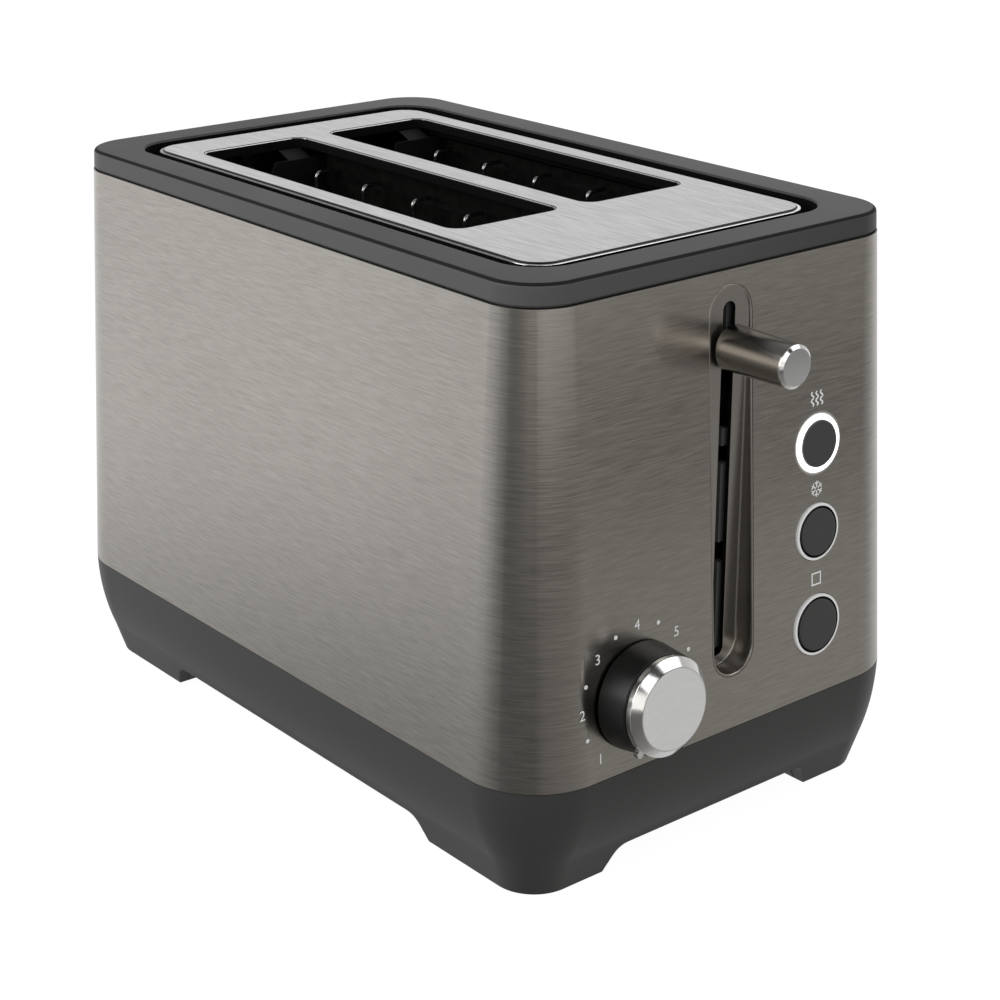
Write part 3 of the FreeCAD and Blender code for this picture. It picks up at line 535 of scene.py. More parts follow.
def carved(target, tools, operation="DIFFERENCE"):
    """The target cut by, joined with, or kept within each tool in turn."""
    for tool in tools:
        step = target.modifiers.new("carve", "BOOLEAN")
        step.operation = operation
        step.solver = "EXACT"
        step.object = tool
        settled(target)
        bpy.data.objects.remove(tool)
    return target


def dressed(target, finish, body, slot, *nodes, sharp=32, bevel=0.0, bevel_angle=40):
    """Gives a piece its finish and smooth shading, and lets it ride on its body in place of its nodes."""
    target.data.materials.clear()
    target.data.materials.append(finish.material)
    if bevel:
        edge = target.modifiers.new("eased_edges", "BEVEL")
        edge.width = bevel * MM
        edge.segments = 2
        edge.limit_method = "ANGLE"
        edge.angle_limit = radians(bevel_angle)
        edge.use_clamp_overlap = True
        settled(target)
    smooth(target, sharp)
    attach(target, body)
    if nodes:
        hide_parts(*nodes)
    print(target.name, len(target.data.polygons), "faces")
    return target


def smooth(target, sharp=32):
    target.data.shade_smooth()
    target.data.set_sharp_from_angle(angle=radians(sharp))
    weigh = target.modifiers.new("flat_faces_stay_flat", "WEIGHTED_NORMAL")
    weigh.keep_sharp = True
    weigh.weight = 100


def painted(target, finish, test):
    """Gives the faces whose middle passes the test, in body millimetres, another finish."""
    target.data.materials.append(finish.material)
    index = len(target.data.materials) - 1
    for face in target.data.polygons:
        middle = face.center
        if test(middle.x / MM, (middle.y - body_middle) / MM, middle.z / MM):
            face.material_index = index


print("mesh tools ready")

# %% [markdown]
# ## Brushed steel
# The wrap is steel with a warm taupe coat that is brushed level, all the way round. Brushing leaves fine
# scratches along the belt: they blur a reflection up and down but leave it sharp sideways. So the shader is
# anisotropic, and noise stretched along the level direction gives each scratch its own tone and roughness.
# The plate is brushed from front to back, and its edges carry painted highlights and painted shade: bright, grey and
# dark lines.

# %% Brushed finishes


def brushed(name, dark, light, streaks, roughness, flow=0.0, contrast=0.5, depth=0.000005, metal=1.0):
    """Steel brushed along the direction in which the streak scale is smallest."""
    steel = Finish(name, Metallic=metal, Anisotropic=flow, Anisotropic_Rotation=0.25)
    fine = steel.scratches(streaks)
    dashes = steel.scratches(tuple(max(s, 0.2 * max(streaks)) for s in streaks))
    cloud = steel.even_noise(9)
    grain = fine * 0.35 + dashes * 0.08 + cloud * 0.10 + 0.45
    share = steel.spread(grain, 0.5 - contrast * 0.35, 0.5 + contrast * 0.35)
    return steel.wear(colour=steel.mix(share, dark, light), roughness=fine * 0.06 + roughness, height=fine,
                      depth=depth, strength=0.2)


shell_steel = brushed("shell_steel", grey(0.300, (1.05, 1.0, 0.92)), grey(0.425, (1.05, 1.0, 0.93)),
                      (100, 100, 2300), 0.20, flow=0.8, contrast=0.72)
plate_steel = brushed("plate_steel", grey(0.38), grey(0.66), (1500, 60, 400), 0.32, contrast=0.5)
cap_steel = brushed("cap_steel", grey(0.74), grey(0.86), (160, 160, 4200), 0.38, contrast=0.9, metal=0.35)
# Painted shade: the flat of the lever's cap is darker at its top and paler at its bottom, a gradient over height.
tip_steel = Finish("tip_steel", Metallic=0.35, Roughness=0.38)
tip_height = tip_steel.axis(tip_steel.where(), "Z")
tip_steel.wear(colour=tip_steel.mix(tip_steel.spread(tip_height + tip_steel.noise((300, 300, 4000)) * 0.003,
                                                     0.163, 0.179), grey(0.45), grey(0.31)))
bare_steel = brushed("bare_steel", grey(0.34, (1.05, 1.0, 0.93)), grey(0.38, (1.05, 1.0, 0.93)),
                     (130, 130, 1700), 0.30, contrast=0.75, depth=0.000001)
# The next three finishes are paint for the plate's edges: a dimmer highlight, a shaded edge and a dark shade line.
# The bright metal below is the caps' own bright metal, and is also painted on the plate's edges as a highlight line.
painted_dim_highlight = brushed("painted_dim_highlight", grey(0.34), grey(0.42), (300, 300, 300), 0.25, contrast=0.8)
painted_shade_edge = brushed("painted_shade_edge", grey(0.22), grey(0.28), (300, 300, 300), 0.30, contrast=0.8)
shade_line = brushed("shade_line", grey(0.025), grey(0.035), (300, 300, 300), 0.4, contrast=1.0)
bright_metal_and_highlight = Finish("bright_metal_and_highlight", Metallic=1.0)
bright_metal_and_highlight.wear(colour=bright_metal_and_highlight.mix(bright_metal_and_highlight.even_noise(260), grey(0.74), grey(0.80)),
                  roughness=bright_metal_and_highlight.even_noise(900) * 0.08 + 0.08)
print("shell, plate and cap steel ready")

# %% [markdown]
# ## Moulded plastic
# The rim and the base are one dark grey moulding compound with a spark-eroded surface: fine, even pits that
# scatter the light and keep the highlights wide. A bump of half-millimetre noise gives that, with a slow
# change of roughness where hands have polished it. The rim's colour also carries painted shade and light by
# the way each part faces. The groove and the gaps are painted black: painted shade.

# %% Moulded finishes


def moulded(name, dark, light, roughness=0.5, grain=1900, depth=0.00003, gloss=0.4):
    plastic = Finish(name, Specular_IOR_Level=gloss)
    pits = plastic.even_noise(grain)
    slow = plastic.even_noise(14)
    return plastic.wear(colour=plastic.mix(slow * 0.6 + pits * 0.4, dark, light),
                        roughness=slow * 0.12 + pits * 0.08 + (roughness - 0.10), height=pits, depth=depth)


def rim_moulding():
    """The rim's compound, with painted shade and light: its sides are painted paler than its top, and its top paler
    towards the right.
    """
    plastic = moulded("rim_plastic", grey(0.03), grey(0.04), roughness=0.44, gloss=0.22)
    rightwards = plastic.spread(plastic.axis(plastic.where(), "X"), -0.02, 0.07)
    upwards = plastic.spread(plastic.axis(plastic.node("NewGeometry", output="Normal"), "Z"), 0.3, 0.95)
    side = 0.078 - rightwards * 0.026
    tone = side + (rightwards * 0.025 + 0.015 - side) * upwards
    return plastic.wear(colour=tone * (plastic.even_noise(14) * 0.2 + plastic.even_noise(1900) * 0.2 + 0.8))


dark_plastic = moulded("dark_plastic", grey(0.029), grey(0.043), roughness=0.44, gloss=0.42)
rim_plastic = rim_moulding()
# Painted light: the ribs' plastic is paler than the plastic inside, as the ribs sit in shade in the recess.
rib_painted_light = moulded("rib_painted_light", grey(0.085), grey(0.11), roughness=0.5)
rim_shade = moulded("rim_shade", grey(0.008), grey(0.014), roughness=0.7, gloss=0.15)
# Near-black paint for faces in shade: painted shade.
shade_black = moulded("shade_black", grey(0.002), grey(0.004), roughness=0.9, gloss=0.1)
knob_plastic = moulded("knob_plastic", grey(0.004), grey(0.007), roughness=0.36, grain=2600, depth=0.000008)
button_plastic = moulded("button_plastic", grey(0.043), grey(0.051), roughness=0.5, grain=2600, depth=0.00001)
inner_plastic = moulded("inner_plastic", grey(0.020), grey(0.030), roughness=0.5)
pad_rubber = moulded("pad_rubber", grey(0.010), grey(0.018), roughness=0.8, grain=1200)
print("plastic finishes ready")

# %% [markdown]
# ## The steel wrap
# The wrap is one sheet, 0.8 mm thick, bent round four tapering corners. Two rows of points, low and high,
# are enough for the slope, and a few more roll its edges. The lever's recess, the three buttons and the
# knob's neck are punched through the front, each square to the surface it goes through.

# %% Outer shell
sheet = 0.8
shell_top = 193.8
recess_width, recess_low, recess_high = 19.0, 58.7, 189.0
buttons = {"reheat": (40.75, 129.1, 9.6), "defrost": (40.4, 98.8, 9.8), "stop": (40.3, 66.0, 10.7)}
knob_x, knob_z = -40.5, 65.2
pot_hole = 5.0
punch_reach = (-150, -115)


def pill(width, low, high, bends=12, runs=14):
    """An upright slot outline with round ends, as (x, z) points."""
    radius = width / 2
    points = []
    for middle, start, side in ((high - radius, 0, -1), (low + radius, pi, 1)):
        for step in range(bends + 1):
            angle = start + pi * step / bends
            points.append((lever_x + radius * cos(angle), middle + radius * sin(angle)))
        span = high - low - width
        for step in range(1, runs):
            points.append((lever_x + side * radius, middle + side * span * step / runs))
    return points


wrap_rows = [(base_top, 0.26), (base_top + 0.22, 0.04), (widest_z, 0.04), (shell_top - 0.35, 0.0),
             (shell_top - 0.1, 0.1), (shell_top, 0.35), (shell_top, sheet), (base_top, sheet)]
shell = skin("steel_wrap", [body_outline(z, inset) for z, inset in wrap_rows], ring=True)
punches = [prism("recess_punch", pill(recess_width, recess_low, recess_high), along_y, *punch_reach)]
for across, height, radius in buttons.values():
    punches.append(turned("button_punch", [(0, -6), (radius + 0.12, -6), (radius + 0.12, -0.25),
                                           (radius + 0.55, 0.2), (radius + 0.55, 4), (0, 4)],
                          on_face(across, height)))
punches.append(turned("knob_punch", [(0, -6), (pot_hole, -6), (pot_hole, 4), (0, 4)], on_face(knob_x, knob_z)))
carved(shell, [joined("punches", punches)])
dressed(shell, shell_steel, "housing", "shell_steel", "outer_shell", sharp=28)
# Painted shade: the top rows of the wrap, under the rim, are painted as a dark line.
painted(shell, shade_line, lambda x, y, z: z > shell_top - 0.3)

# %% [markdown]
# ## The lever's recess
# The lever runs straight down while the face leans out, so the recess is a pocket whose floor starts level
# with the face at the top and ends eight millimetres deep at the bottom. Each row of the pocket is the same
# slot outline, a little smaller, at the depth that the face or the floor has there. Where the pocket has no
# depth yet, the floor wins, and the wall fades away as it does on the real one.

# %% Recess with its slot
track_y = face_y(recess_high)
guide_wall = 1.5
slot_width, slot_low, slot_high = 5.2, 63.2, 183.4


def pocket_row(inset, depth_of):
    inset += 0.1
    return [(x, depth_of(z), z) for x, z in pill(recess_width - 2 * inset, recess_low + inset, recess_high - inset)]


def behind_face(depth):
    return lambda z: face_y(z) + depth


def above_floor(height, least):
    return lambda z: max(min(face_y(z) + least, track_y), track_y - height)


def floor_at(depth):
    return lambda z: track_y + depth


lip_rows = [pocket_row(inset, behind_face(depth)) for inset, depth in
            ((-2.5, 0.95), (0, 0.95), (0, 0.22), (0.08, 0.06), (0.22, 0.0), (0.55, 0.02))]
wall_rows = [pocket_row(inset, above_floor(height, least)) for inset, height, least in
             ((0.74, 99, 0.12), (0.86, 99, 0.35), (0.92, 99, 0.8), (1.0, 1.2, 0.85), (1.06, 0.5, 0.9),
              (1.3, 0.12, 0.95))]
slot_rows = [[(x, track_y + depth, z) for x, z in pill(slot_width + 2 * grow, slot_low - grow, slot_high + grow)]
             for grow, depth in ((0.25, 0.0), (0.06, 0.08), (0, 0.3), (0, guide_wall))]
back_rows = [pocket_row(inset, floor_at(guide_wall)) for inset in (0, -2.5)]
recess = skin("lever_recess", lip_rows + wall_rows + [pocket_row(1.75, floor_at(0.0))] + slot_rows + back_rows,
              ring=True)
rib_section = box_path(1.9, 5.0, 3.2, 5.6)
rib_spans = ((64.2, 94.7), (101.7, 128.7), (134.7, 140.5), (160, 182))
ribs = [prism("rib", rib_section, upright(lever_x, track_y), *span) for span in rib_spans]
recess = joined("lever_recess", [recess] + ribs)
dressed(recess, bare_steel, "housing", "shell_steel", "lever_guide", sharp=50)
# Painted shade: the walls of the slot in the recess are painted black.
painted(recess, shade_black, lambda x, y, z: abs(x - lever_x) < slot_width / 2 + 0.02 and y > track_y + 0.2)
# Painted light: the ribs behind the slot get the paler plastic.
painted(recess, rib_painted_light, lambda x, y, z: y > track_y + guide_wall + 0.1)

# %% [markdown]
# ## The dark rim
# One moulding closes the wrap: a band with a slight shadow gap below it, a rounded top edge, and a deep
# groove in which the steel plate sits. All of it is one cross-section that goes round the toaster, so it is
# one ring of rows. The groove's walls are given the black finish, because no light reaches them.

# %% Rim
rim_low, rim_side_top, rim_inset = 194.2, 199.6, 0.2
skirt_low = 191.7
edge_round = 1.4
opening_x, opening_y, opening_corner = 65.4, 114.7, 15.5
ledge_z = 196.2


def opening_outline(grow, z):
    return outline(opening_x + grow, opening_y + grow, max(opening_corner + grow, 3.0), z)


rim_rows = [body_outline(rim_low, rim_inset + 0.35), body_outline(rim_low + 0.3, rim_inset + 0.02),
            body_outline(rim_side_top, rim_inset)]
for step in range(1, 8):
    angle = pi / 2 * step / 7
    rim_rows.append(body_outline(rim_side_top + edge_round * sin(angle), rim_inset + edge_round * (1 - cos(angle))))
rim_rows += [opening_outline(grow, z) for grow, z in
             ((0.75, total_height), (0.4, 200.93), (0.12, 200.7), (0.0, 200.3), (0.0, ledge_z), (-12.0, ledge_z),
              (-12.0, rim_low))]
rim_rows += [body_outline(z, inset) for z, inset in
             ((rim_low, 2.5), (skirt_low, 2.5), (skirt_low, 0.9), (rim_low, 0.9))]
rim = skin("dark_rim", rim_rows, ring=True)
dressed(rim, rim_plastic, "housing", "dark_plastic", "top_rim", sharp=60)
# Painted shade: the round of the rim's top edge is given a dark line.
painted(rim, rim_shade, lambda x, y, z: rim_side_top + 0.55 < z < 200.93 and (abs(x) > 70 or abs(y) > 120))
# Painted shade: the groove's walls are painted black.
painted(rim, shade_black, lambda x, y, z: z < 200.4 and abs(x) < opening_x + 0.1 and abs(y) < opening_y + 0.1)

# %% [markdown]
# ## The steel plate
# The plate is pressed: its border drops by half a millimetre onto a narrow flange, and each slot's edge is
# rolled down in the same way. The flange and the rolls are painted as thin highlight lines, grey lines and
# dark lines, and the walls below them black: painted highlights and painted shade. The flat middle has two
# holes, so it is filled from its border loops, and the profiles are skinned along each loop.

# %% Plate
plate_top, plate_under, roll_low = 200.5, 199.5, 196.9
slot_half_x, slot_half_y, slot_corner = 21.9, 74.5, 5.0
slot_middle_y = 15.7
slot_xs = (-27.95, 27.95)
plate_x, plate_y, plate_corner = 60.0, 109.7, 10.6


def plate_outline(inset, z):
    return outline(plate_x - inset, plate_y - inset, max(plate_corner - inset, 2.5), z)


def slot_outline(x, grow, z):
    return outline(slot_half_x + grow, slot_half_y + grow, slot_corner + grow, z, (x, slot_middle_y))


border = [(1.0, plate_under), (1.0, ledge_z), (0.0, ledge_z), (0.0, 199.75), (0.06, 199.9), (0.22, 199.98),
          (0.5, 200.0), (1.1, 200.0), (1.2, 200.05), (1.3, 200.25), (1.4, 200.42), (1.5, 200.48),
          (1.65, plate_top)]
roll = [(0.95, plate_top), (0.78, 200.49), (0.6, 200.45), (0.45, 200.38), (0.3, 200.26), (0.18, 200.1),
        (0.06, 199.85), (0.0, 199.6), (0.0, roll_low), (1.0, roll_low), (1.0, plate_under)]
loops = [[plate_outline(inset, z) for inset, z in border]]
loops += [[slot_outline(x, grow, z) for grow, z in roll] for x in slot_xs]
points, faces, edges = [], [], {"top": [], "under": []}
for rows in loops:
    width, first = len(rows[0]), len(points)
    points += [point for row in rows for point in row]
    faces += strips(rows, first)
    for z, layer in ((plate_top, "top"), (plate_under, "under")):
        row = 0 if abs(rows[0][0][2] - z) < 1e-6 else len(rows) - 1
        edges[layer] += [(first + row * width + i, first + row * width + (i + 1) % width) for i in range(width)]
work = draft(points, faces)
work.verts.ensure_lookup_table()
for layer in edges.values():
    loop = [work.edges.get((work.verts[a], work.verts[b])) for a, b in layer]
    bmesh.ops.triangle_fill(work, use_beauty=True, edges=loop, normal=(0, 0, 1))
bmesh.ops.recalc_face_normals(work, faces=work.faces)
print("open edges on the plate:", sum(not e.is_manifold for e in work.edges))
plate = final("steel_plate", work)
dressed(plate, plate_steel, "housing", "plate_steel", "top_plate", sharp=60)


def outside(x, y, half_x, half_y, corner):
    """How far outside a rectangle with round corners a point is, in millimetres."""
    across, along = abs(x) - half_x, abs(y) - half_y
    if min(across, along) > -corner:
        return hypot(across + corner, along + corner) - corner
    return max(across, along)


def inside_border(x, y):
    return -outside(x, y, plate_x, plate_y, plate_corner)


def outside_slot(x, y):
    return min(outside(x - middle, y - slot_middle_y, slot_half_x, slot_half_y, slot_corner) for middle in slot_xs)


def on_flange(x, y, z):
    return 199.8 < z < 200.03 and inside_border(x, y) < 1.15


def on_roll(x, y, z):
    return z < 200.44 and 0.2 < outside_slot(x, y) < 0.5


# Painted highlights and painted shade on the plate's edges: bright highlight lines on the flange and the slot rolls,
# dimmer lines where the edges face away from the light, and dark lines on the risers.
painted(plate, bright_metal_and_highlight, on_flange)
painted(plate, painted_shade_edge, lambda x, y, z: on_flange(x, y, z) and x < -plate_x + plate_corner
        and y > plate_corner - plate_y)
painted(plate, shade_line, lambda x, y, z: z < 200.495 and 1.12 < inside_border(x, y) < 1.6)
painted(plate, shade_line, lambda x, y, z: z < plate_top and 0.5 < outside_slot(x, y) < 0.9)
painted(plate, bright_metal_and_highlight, on_roll)
painted(plate, painted_shade_edge, lambda x, y, z: on_roll(x, y, z) and y < slot_middle_y - slot_half_y + slot_corner)
painted(plate, painted_dim_highlight, lambda x, y, z: on_roll(x, y, z) and y > slot_middle_y + slot_half_y)
# Painted shade: the plate's walls under its edges are painted black.
painted(plate, shade_black, lambda x, y, z: z < 199.8 or (z < 200.2 and outside_slot(x, y) < 0.2))

# %% [markdown]
# ## The moulded base
# The base carries on the line of the wrap, then curves in under it to a crease, and ends in four corner feet
# with an arch between each pair. The tub is one skin, outside up and inside down. The arches, the tray's
# window, the cord entry, the vents and the screw holes are cut from it, as the mould's slides would do.

# %% Base
crease_z, crease_inset, crease_corner = 11.7, 6.2, 17.1
foot_low, foot_inset, foot_corner = 0.1, 9.6, 14.5
floor_top, clearance, edge_clearance = 12.0, 8.4, 9.5
base_wall, upstand_top = 2.6, 45.2
pad_radius, pad_height = 7.0, 2.6
screw_seat_z, screw_core = 10.4, 1.9
vent_rows, vent_pitch, vent_length, vent_width = 7, 14.0, 26.0, 3.0
side_arc = ((base_top - crease_z) ** 2 + crease_inset ** 2) / (2 * crease_inset)


def base_inset(z):
    return side_arc - sqrt(side_arc ** 2 - (base_top - z) ** 2)


def base_outline(z, wall=0.0):
    inset = base_inset(z)
    share = inset / crease_inset
    corner = body_corner(widest_z) * (1 - share) + crease_corner * share
    return outline(half_width(widest_z) - inset - wall, half_length(widest_z) - inset - wall, corner - wall, z)


def foot_outline(z, extra=0.0):
    share = (crease_z - z) / (crease_z - foot_low)
    inset = crease_inset + (foot_inset - crease_inset) * share + extra
    corner = crease_corner + (foot_corner - crease_corner) * share
    return outline(half_width(widest_z) - inset, half_length(widest_z) - inset, corner, z)


def arc_rows(low, wall=0.0, steps=14):
    return [base_outline(low + (base_top - low) * step / steps, wall) for step in range(steps + 1)]


def arch_path(half_floor, half_top, top):
    return softened([(-half_floor, -0.4), (-half_top, top), (half_top, top), (half_floor, -0.4)], 4.0, steps=6)


outer_rows = [foot_outline(foot_low, 0.3), foot_outline(foot_low + 0.3)] + arc_rows(crease_z)
lip = [body_outline(base_top, 0.9), body_outline(upstand_top, 0.9), body_outline(upstand_top, base_wall)]
inner_rows = list(reversed(arc_rows(floor_top, base_wall, 10)))
base = skin("moulded_base", outer_rows + lip + inner_rows)
side_arch, end_arch = (78.8, 74.0), (47.8, 42.5)
carved(base, [prism("side_arch", arch_path(*side_arch, clearance), along_x, -140, 140)])
carved(base, [prism("end_arch", arch_path(*end_arch, clearance), along_y, -190, 190)])
for side in (-1, 1):
    carved(base, [prism("side_edge", arch_path(*side_arch, edge_clearance), along_x, side * 75, side * 140)])
    carved(base, [prism("end_edge", arch_path(*end_arch, edge_clearance), along_y, side * 125, side * 190)])
screw_places = [(x, y) for x in (-66, 66) for y in (-60, 60)]
pad_places = [(x, y) for x in (-64, 64) for y in (-110, 110)]
gland_x, gland_z = 45.0, 33.4
gland_y = half_length(widest_z) - base_inset(gland_z)
seat = pad_radius + 0.1
tools = [turned("pad_seat", [(0, -1), (seat, -1), (seat, pad_height), (0, pad_height)], upright(x, y), steps=40)
         for x, y in pad_places]
tools += [turned("screw_seat", [(0, 7), (3.8, 7), (3.8, screw_seat_z), (screw_core, screw_seat_z), (screw_core, 25),
                                (0, 25)], upright(x, y), steps=32) for x, y in screw_places]
tools.append(skin("tray_window", [outline(49.8, 35, 0.5, z, (0, 138), steps=2) for z in (12.5, 26.3)]))
tools.append(turned("gland_seat", [(0, -8), (5.1, -8), (5.1, -1), (6.5, -1), (6.5, 30), (0, 30)],
                    along_rear(gland_y, gland_z, gland_x), steps=48))
vent = box_path(-vent_length / 2, vent_length / 2, -vent_width / 2, vent_width / 2, 1.3)
for row in range(vent_rows):
    vent_y = slot_middle_y + (row - vent_rows // 2) * vent_pitch
    tools += [prism("vent", vent, upright(side * 16, vent_y), 7.0, 13.0) for side in (-1, 1)]
carved(base, [joined("base_tools", tools)])
dressed(base, dark_plastic, "housing", "dark_plastic", "base", sharp=40, bevel=0.35, bevel_angle=45)

# %% [markdown]
# ## Feet, screws and cord entry
# Under each foot is a soft pad, and four screws hold the steel well to the base. Their heads are turned
# forms with a cross cut in them. The cord entry at the rear is a moulded bushing with a rolled flange.

# %% Small turned pieces
pad_profile = softened([(0, 0), (pad_radius, 0), (pad_radius, pad_height), (0, pad_height)], 0.5)
pads = joined("rubber_pads", [turned("pad", pad_profile, upright(x, y), steps=40) for x, y in pad_places])
dressed(pads, pad_rubber, "housing", "pad_rubber", "foot_pads")


def plated(name, dark=0.42, light=0.56, roughness=0.36):
    """Zinc-plated sheet: a cloudy, slightly crystalline grey."""
    tint = (1, 1, 0.985)
    metal = Finish(name, Metallic=1.0)
    spangle = metal.even_noise(220, detail=3.0)
    rolled = metal.noise((40, 900, 900))
    return metal.wear(colour=metal.mix(spangle * 0.6 + rolled * 0.4, grey(dark, tint), grey(light, tint)),
                      roughness=spangle * 0.2 + (roughness - 0.1), height=rolled, depth=0.00001)


plated_steel = plated("plated_steel")


def cross_screw(x, y):
    head = softened([(3.5, screw_seat_z), (3.5, 9.2), (2.6, 8.55), (0, 8.4)], 0.4)
    body = turned("screw", [(0, 24), (1.75, 24), (1.75, screw_seat_z)] + head, upright(x, y), steps=32)
    arms = [prism("arm", box_path(-w, w, -d, d), upright(x, y), 8.0, 9.4) for w, d in ((2.0, 0.38), (0.38, 2.0))]
    return carved(body, arms)


screws = joined("base_screw_set", [cross_screw(x, y) for x, y in screw_places])
dressed(screws, plated_steel, "housing", "plated_steel", "base_screws")
gland_profile = softened([(3.6, -10), (5.0, -10), (5.0, -1.0), (6.4, -1.0), (6.4, 1.5), (3.6, 1.5)], 0.5,
                         closed=True)
gland = turned("cord_bushing", gland_profile, along_rear(gland_y, gland_z, gland_x), ring=True, steps=56)
dressed(gland, inner_plastic, "housing", "inner_plastic", "cord_gland")

# %% [markdown]
# ## The lever
# The lever's grip is a turned bronze-brown barrel with a slight taper. Its end cap is bright metal with a
# broad bevel, and the flat is brushed, with painted shade that makes it darker towards its top. The barrel
# stands clear of the recess, which leaves the dark line at its root. Being metal, it takes its look from the
# room, and a ramp over the direction that each part of the barrel faces paints it darker on top and paler
# on its sides: painted shade and light.

# %% Lever grip and cap
lever_z = 169.1
lever_y = track_y - 1.65
grip_length = 26.4
bronze = Finish("bronze_lever", Metallic=1.0)
bronze_lines = bronze.noise((400, 3400, 400))
bronze_up = bronze.axis(bronze.node("NewGeometry", output="Normal"), "Z")
# Painted shade and light: the colour follows the way each part faces, dark on top and paler on the sides.
bronze_shade_stops = [(place, grey(level, (1.06, 1.0, 0.93))) for place, level in
                ((0.15, 0.46), (0.36, 0.48), (0.45, 0.52), (0.54, 0.52), (0.62, 0.60), (0.70, 0.54), (0.78, 0.30),
                 (0.85, 0.18), (0.93, 0.14), (1.0, 0.18))]
bronze.wear(colour=bronze.node("ValToRGB", {"stops": bronze_shade_stops},
                               {"Fac": bronze_up * 0.5 + bronze_lines * 0.02 + 0.49}),
            roughness=bronze_lines * 0.05 + 0.19, height=bronze_lines, depth=0.000001, strength=0.3)
grip_profile = softened([(0, 0), (7.5, 0), (7.02, grip_length), (6.2, grip_length)], 0.55)
grip_profile += [(6.2, grip_length - 0.4), (0, grip_length - 0.4)]
grip = turned("lever_grip", grip_profile, along_front(lever_y, lever_z, lever_x), steps=96)
dressed(grip, bronze, "carriage", "bronze_lever", "lever_handle")
cap_end = grip_length + 1.1
cap_profile = [(0, grip_length - 0.3), (6.75, grip_length - 0.3), (6.9, grip_length - 0.05), (7.0, grip_length + 0.1),
               (6.95, grip_length + 0.25), (5.95, cap_end - 0.05), (5.8, cap_end), (0, cap_end)]
lever_cap = turned("lever_cap_bright", cap_profile, along_front(lever_y, lever_z, lever_x), steps=96)
dressed(lever_cap, bright_metal_and_highlight, "carriage", "bright_cap", "lever_cap", sharp=20)
# Painted shade: the cap's flat gets the finish that is darker towards its top.
painted(lever_cap, tip_steel, lambda x, y, z: y < lever_y - cap_end + 0.02 and hypot(x - lever_x, z - lever_z) < 5.7)

# %% [markdown]
# ## The browning knob
# The knob is a near-black drum with a bright collar and a bevelled cap whose flat is brushed. A small nib on
# the collar points at the numbers. The three turned profiles stand square on the sloping face, so the knob
# leans with it. The face's own matrix does that, and no piece has to be turned by hand.

# %% Knob
knob_place = on_face(knob_x, knob_z)
drum_profile = softened([(3.0, 0.6), (18.0, 0.6), (16.7, 11.4), (3.0, 11.4)], 0.7, closed=True)
drum = turned("knob_drum", drum_profile, knob_place, ring=True, steps=120)
dressed(drum, knob_plastic, "browning_knob", "knob_plastic", "knob_body")
collar_profile = [(0, 11.4), (15.7, 11.4), (15.7, 11.75), (16.15, 11.8), (16.3, 11.95), (16.3, 13.7), (0, 13.7)]
collar = turned("knob_collar_bright", collar_profile, knob_place, steps=120)
nib_angle = radians(225)


def nib_place(across, along, proud):
    return knob_place(along * cos(nib_angle) - across * sin(nib_angle),
                      along * sin(nib_angle) + across * cos(nib_angle), proud)


nib = prism("nib", softened([(-1.2, 14.5), (1.2, 14.5), (1.2, 18.0), (0.5, 18.5), (-0.5, 18.5), (-1.2, 18.0)], 0.2,
                            closed=True), nib_place, 11.85, 13.65)
carved(collar, [nib], "UNION")
dressed(collar, bright_metal_and_highlight, "browning_knob", "bright_cap", "knob_collar")
top_profile = [(0, 13.7), (16.3, 13.7), (16.28, 13.85), (16.1, 14.05), (13.75, 16.15), (13.5, 16.28), (13.2, 16.3),
               (0, 16.3)]
top = turned("knob_top_bright", top_profile, knob_place, steps=120)
dressed(top, bright_metal_and_highlight, "browning_knob", "bright_cap", "knob_cap", sharp=18)


def on_knob_flat(x, y, z):
    back, up = y - face_y(knob_z), z - knob_z
    proud = up * sin(lean) - back * cos(lean)
    return proud > 16.2 and hypot(x - knob_x, up * cos(lean) + back * sin(lean)) < 13.3


painted(top, cap_steel, on_knob_flat)

# %% [markdown]
# ## Push buttons and their rings
# Each button is a satin disc inside a ring of milky light guide. In the photograph the top ring is lit: it is
# given light of its own, and the steel next to it a faint painted glow, which stands in for the ring's light
# falling on it. The other rings only catch the room's light.

# %% Buttons and light rings
ring_plastic = moulded("light_ring", grey(0.82), grey(0.90), roughness=0.35, depth=0.000005)
lit_ring = Finish("lit_ring", Base_Color=grey(0.8), Roughness=0.4, Emission_Strength=1.6)
lit_ring.feed(lit_ring.shader.inputs["Emission Color"],
              lit_ring.mix(lit_ring.even_noise(400), grey(0.95), grey(1.0, (1.0, 0.99, 0.97))))
lit_x, lit_z, lit_radius = buttons["reheat"]
lit_middle = at(lit_x, face_y(lit_z), lit_z)
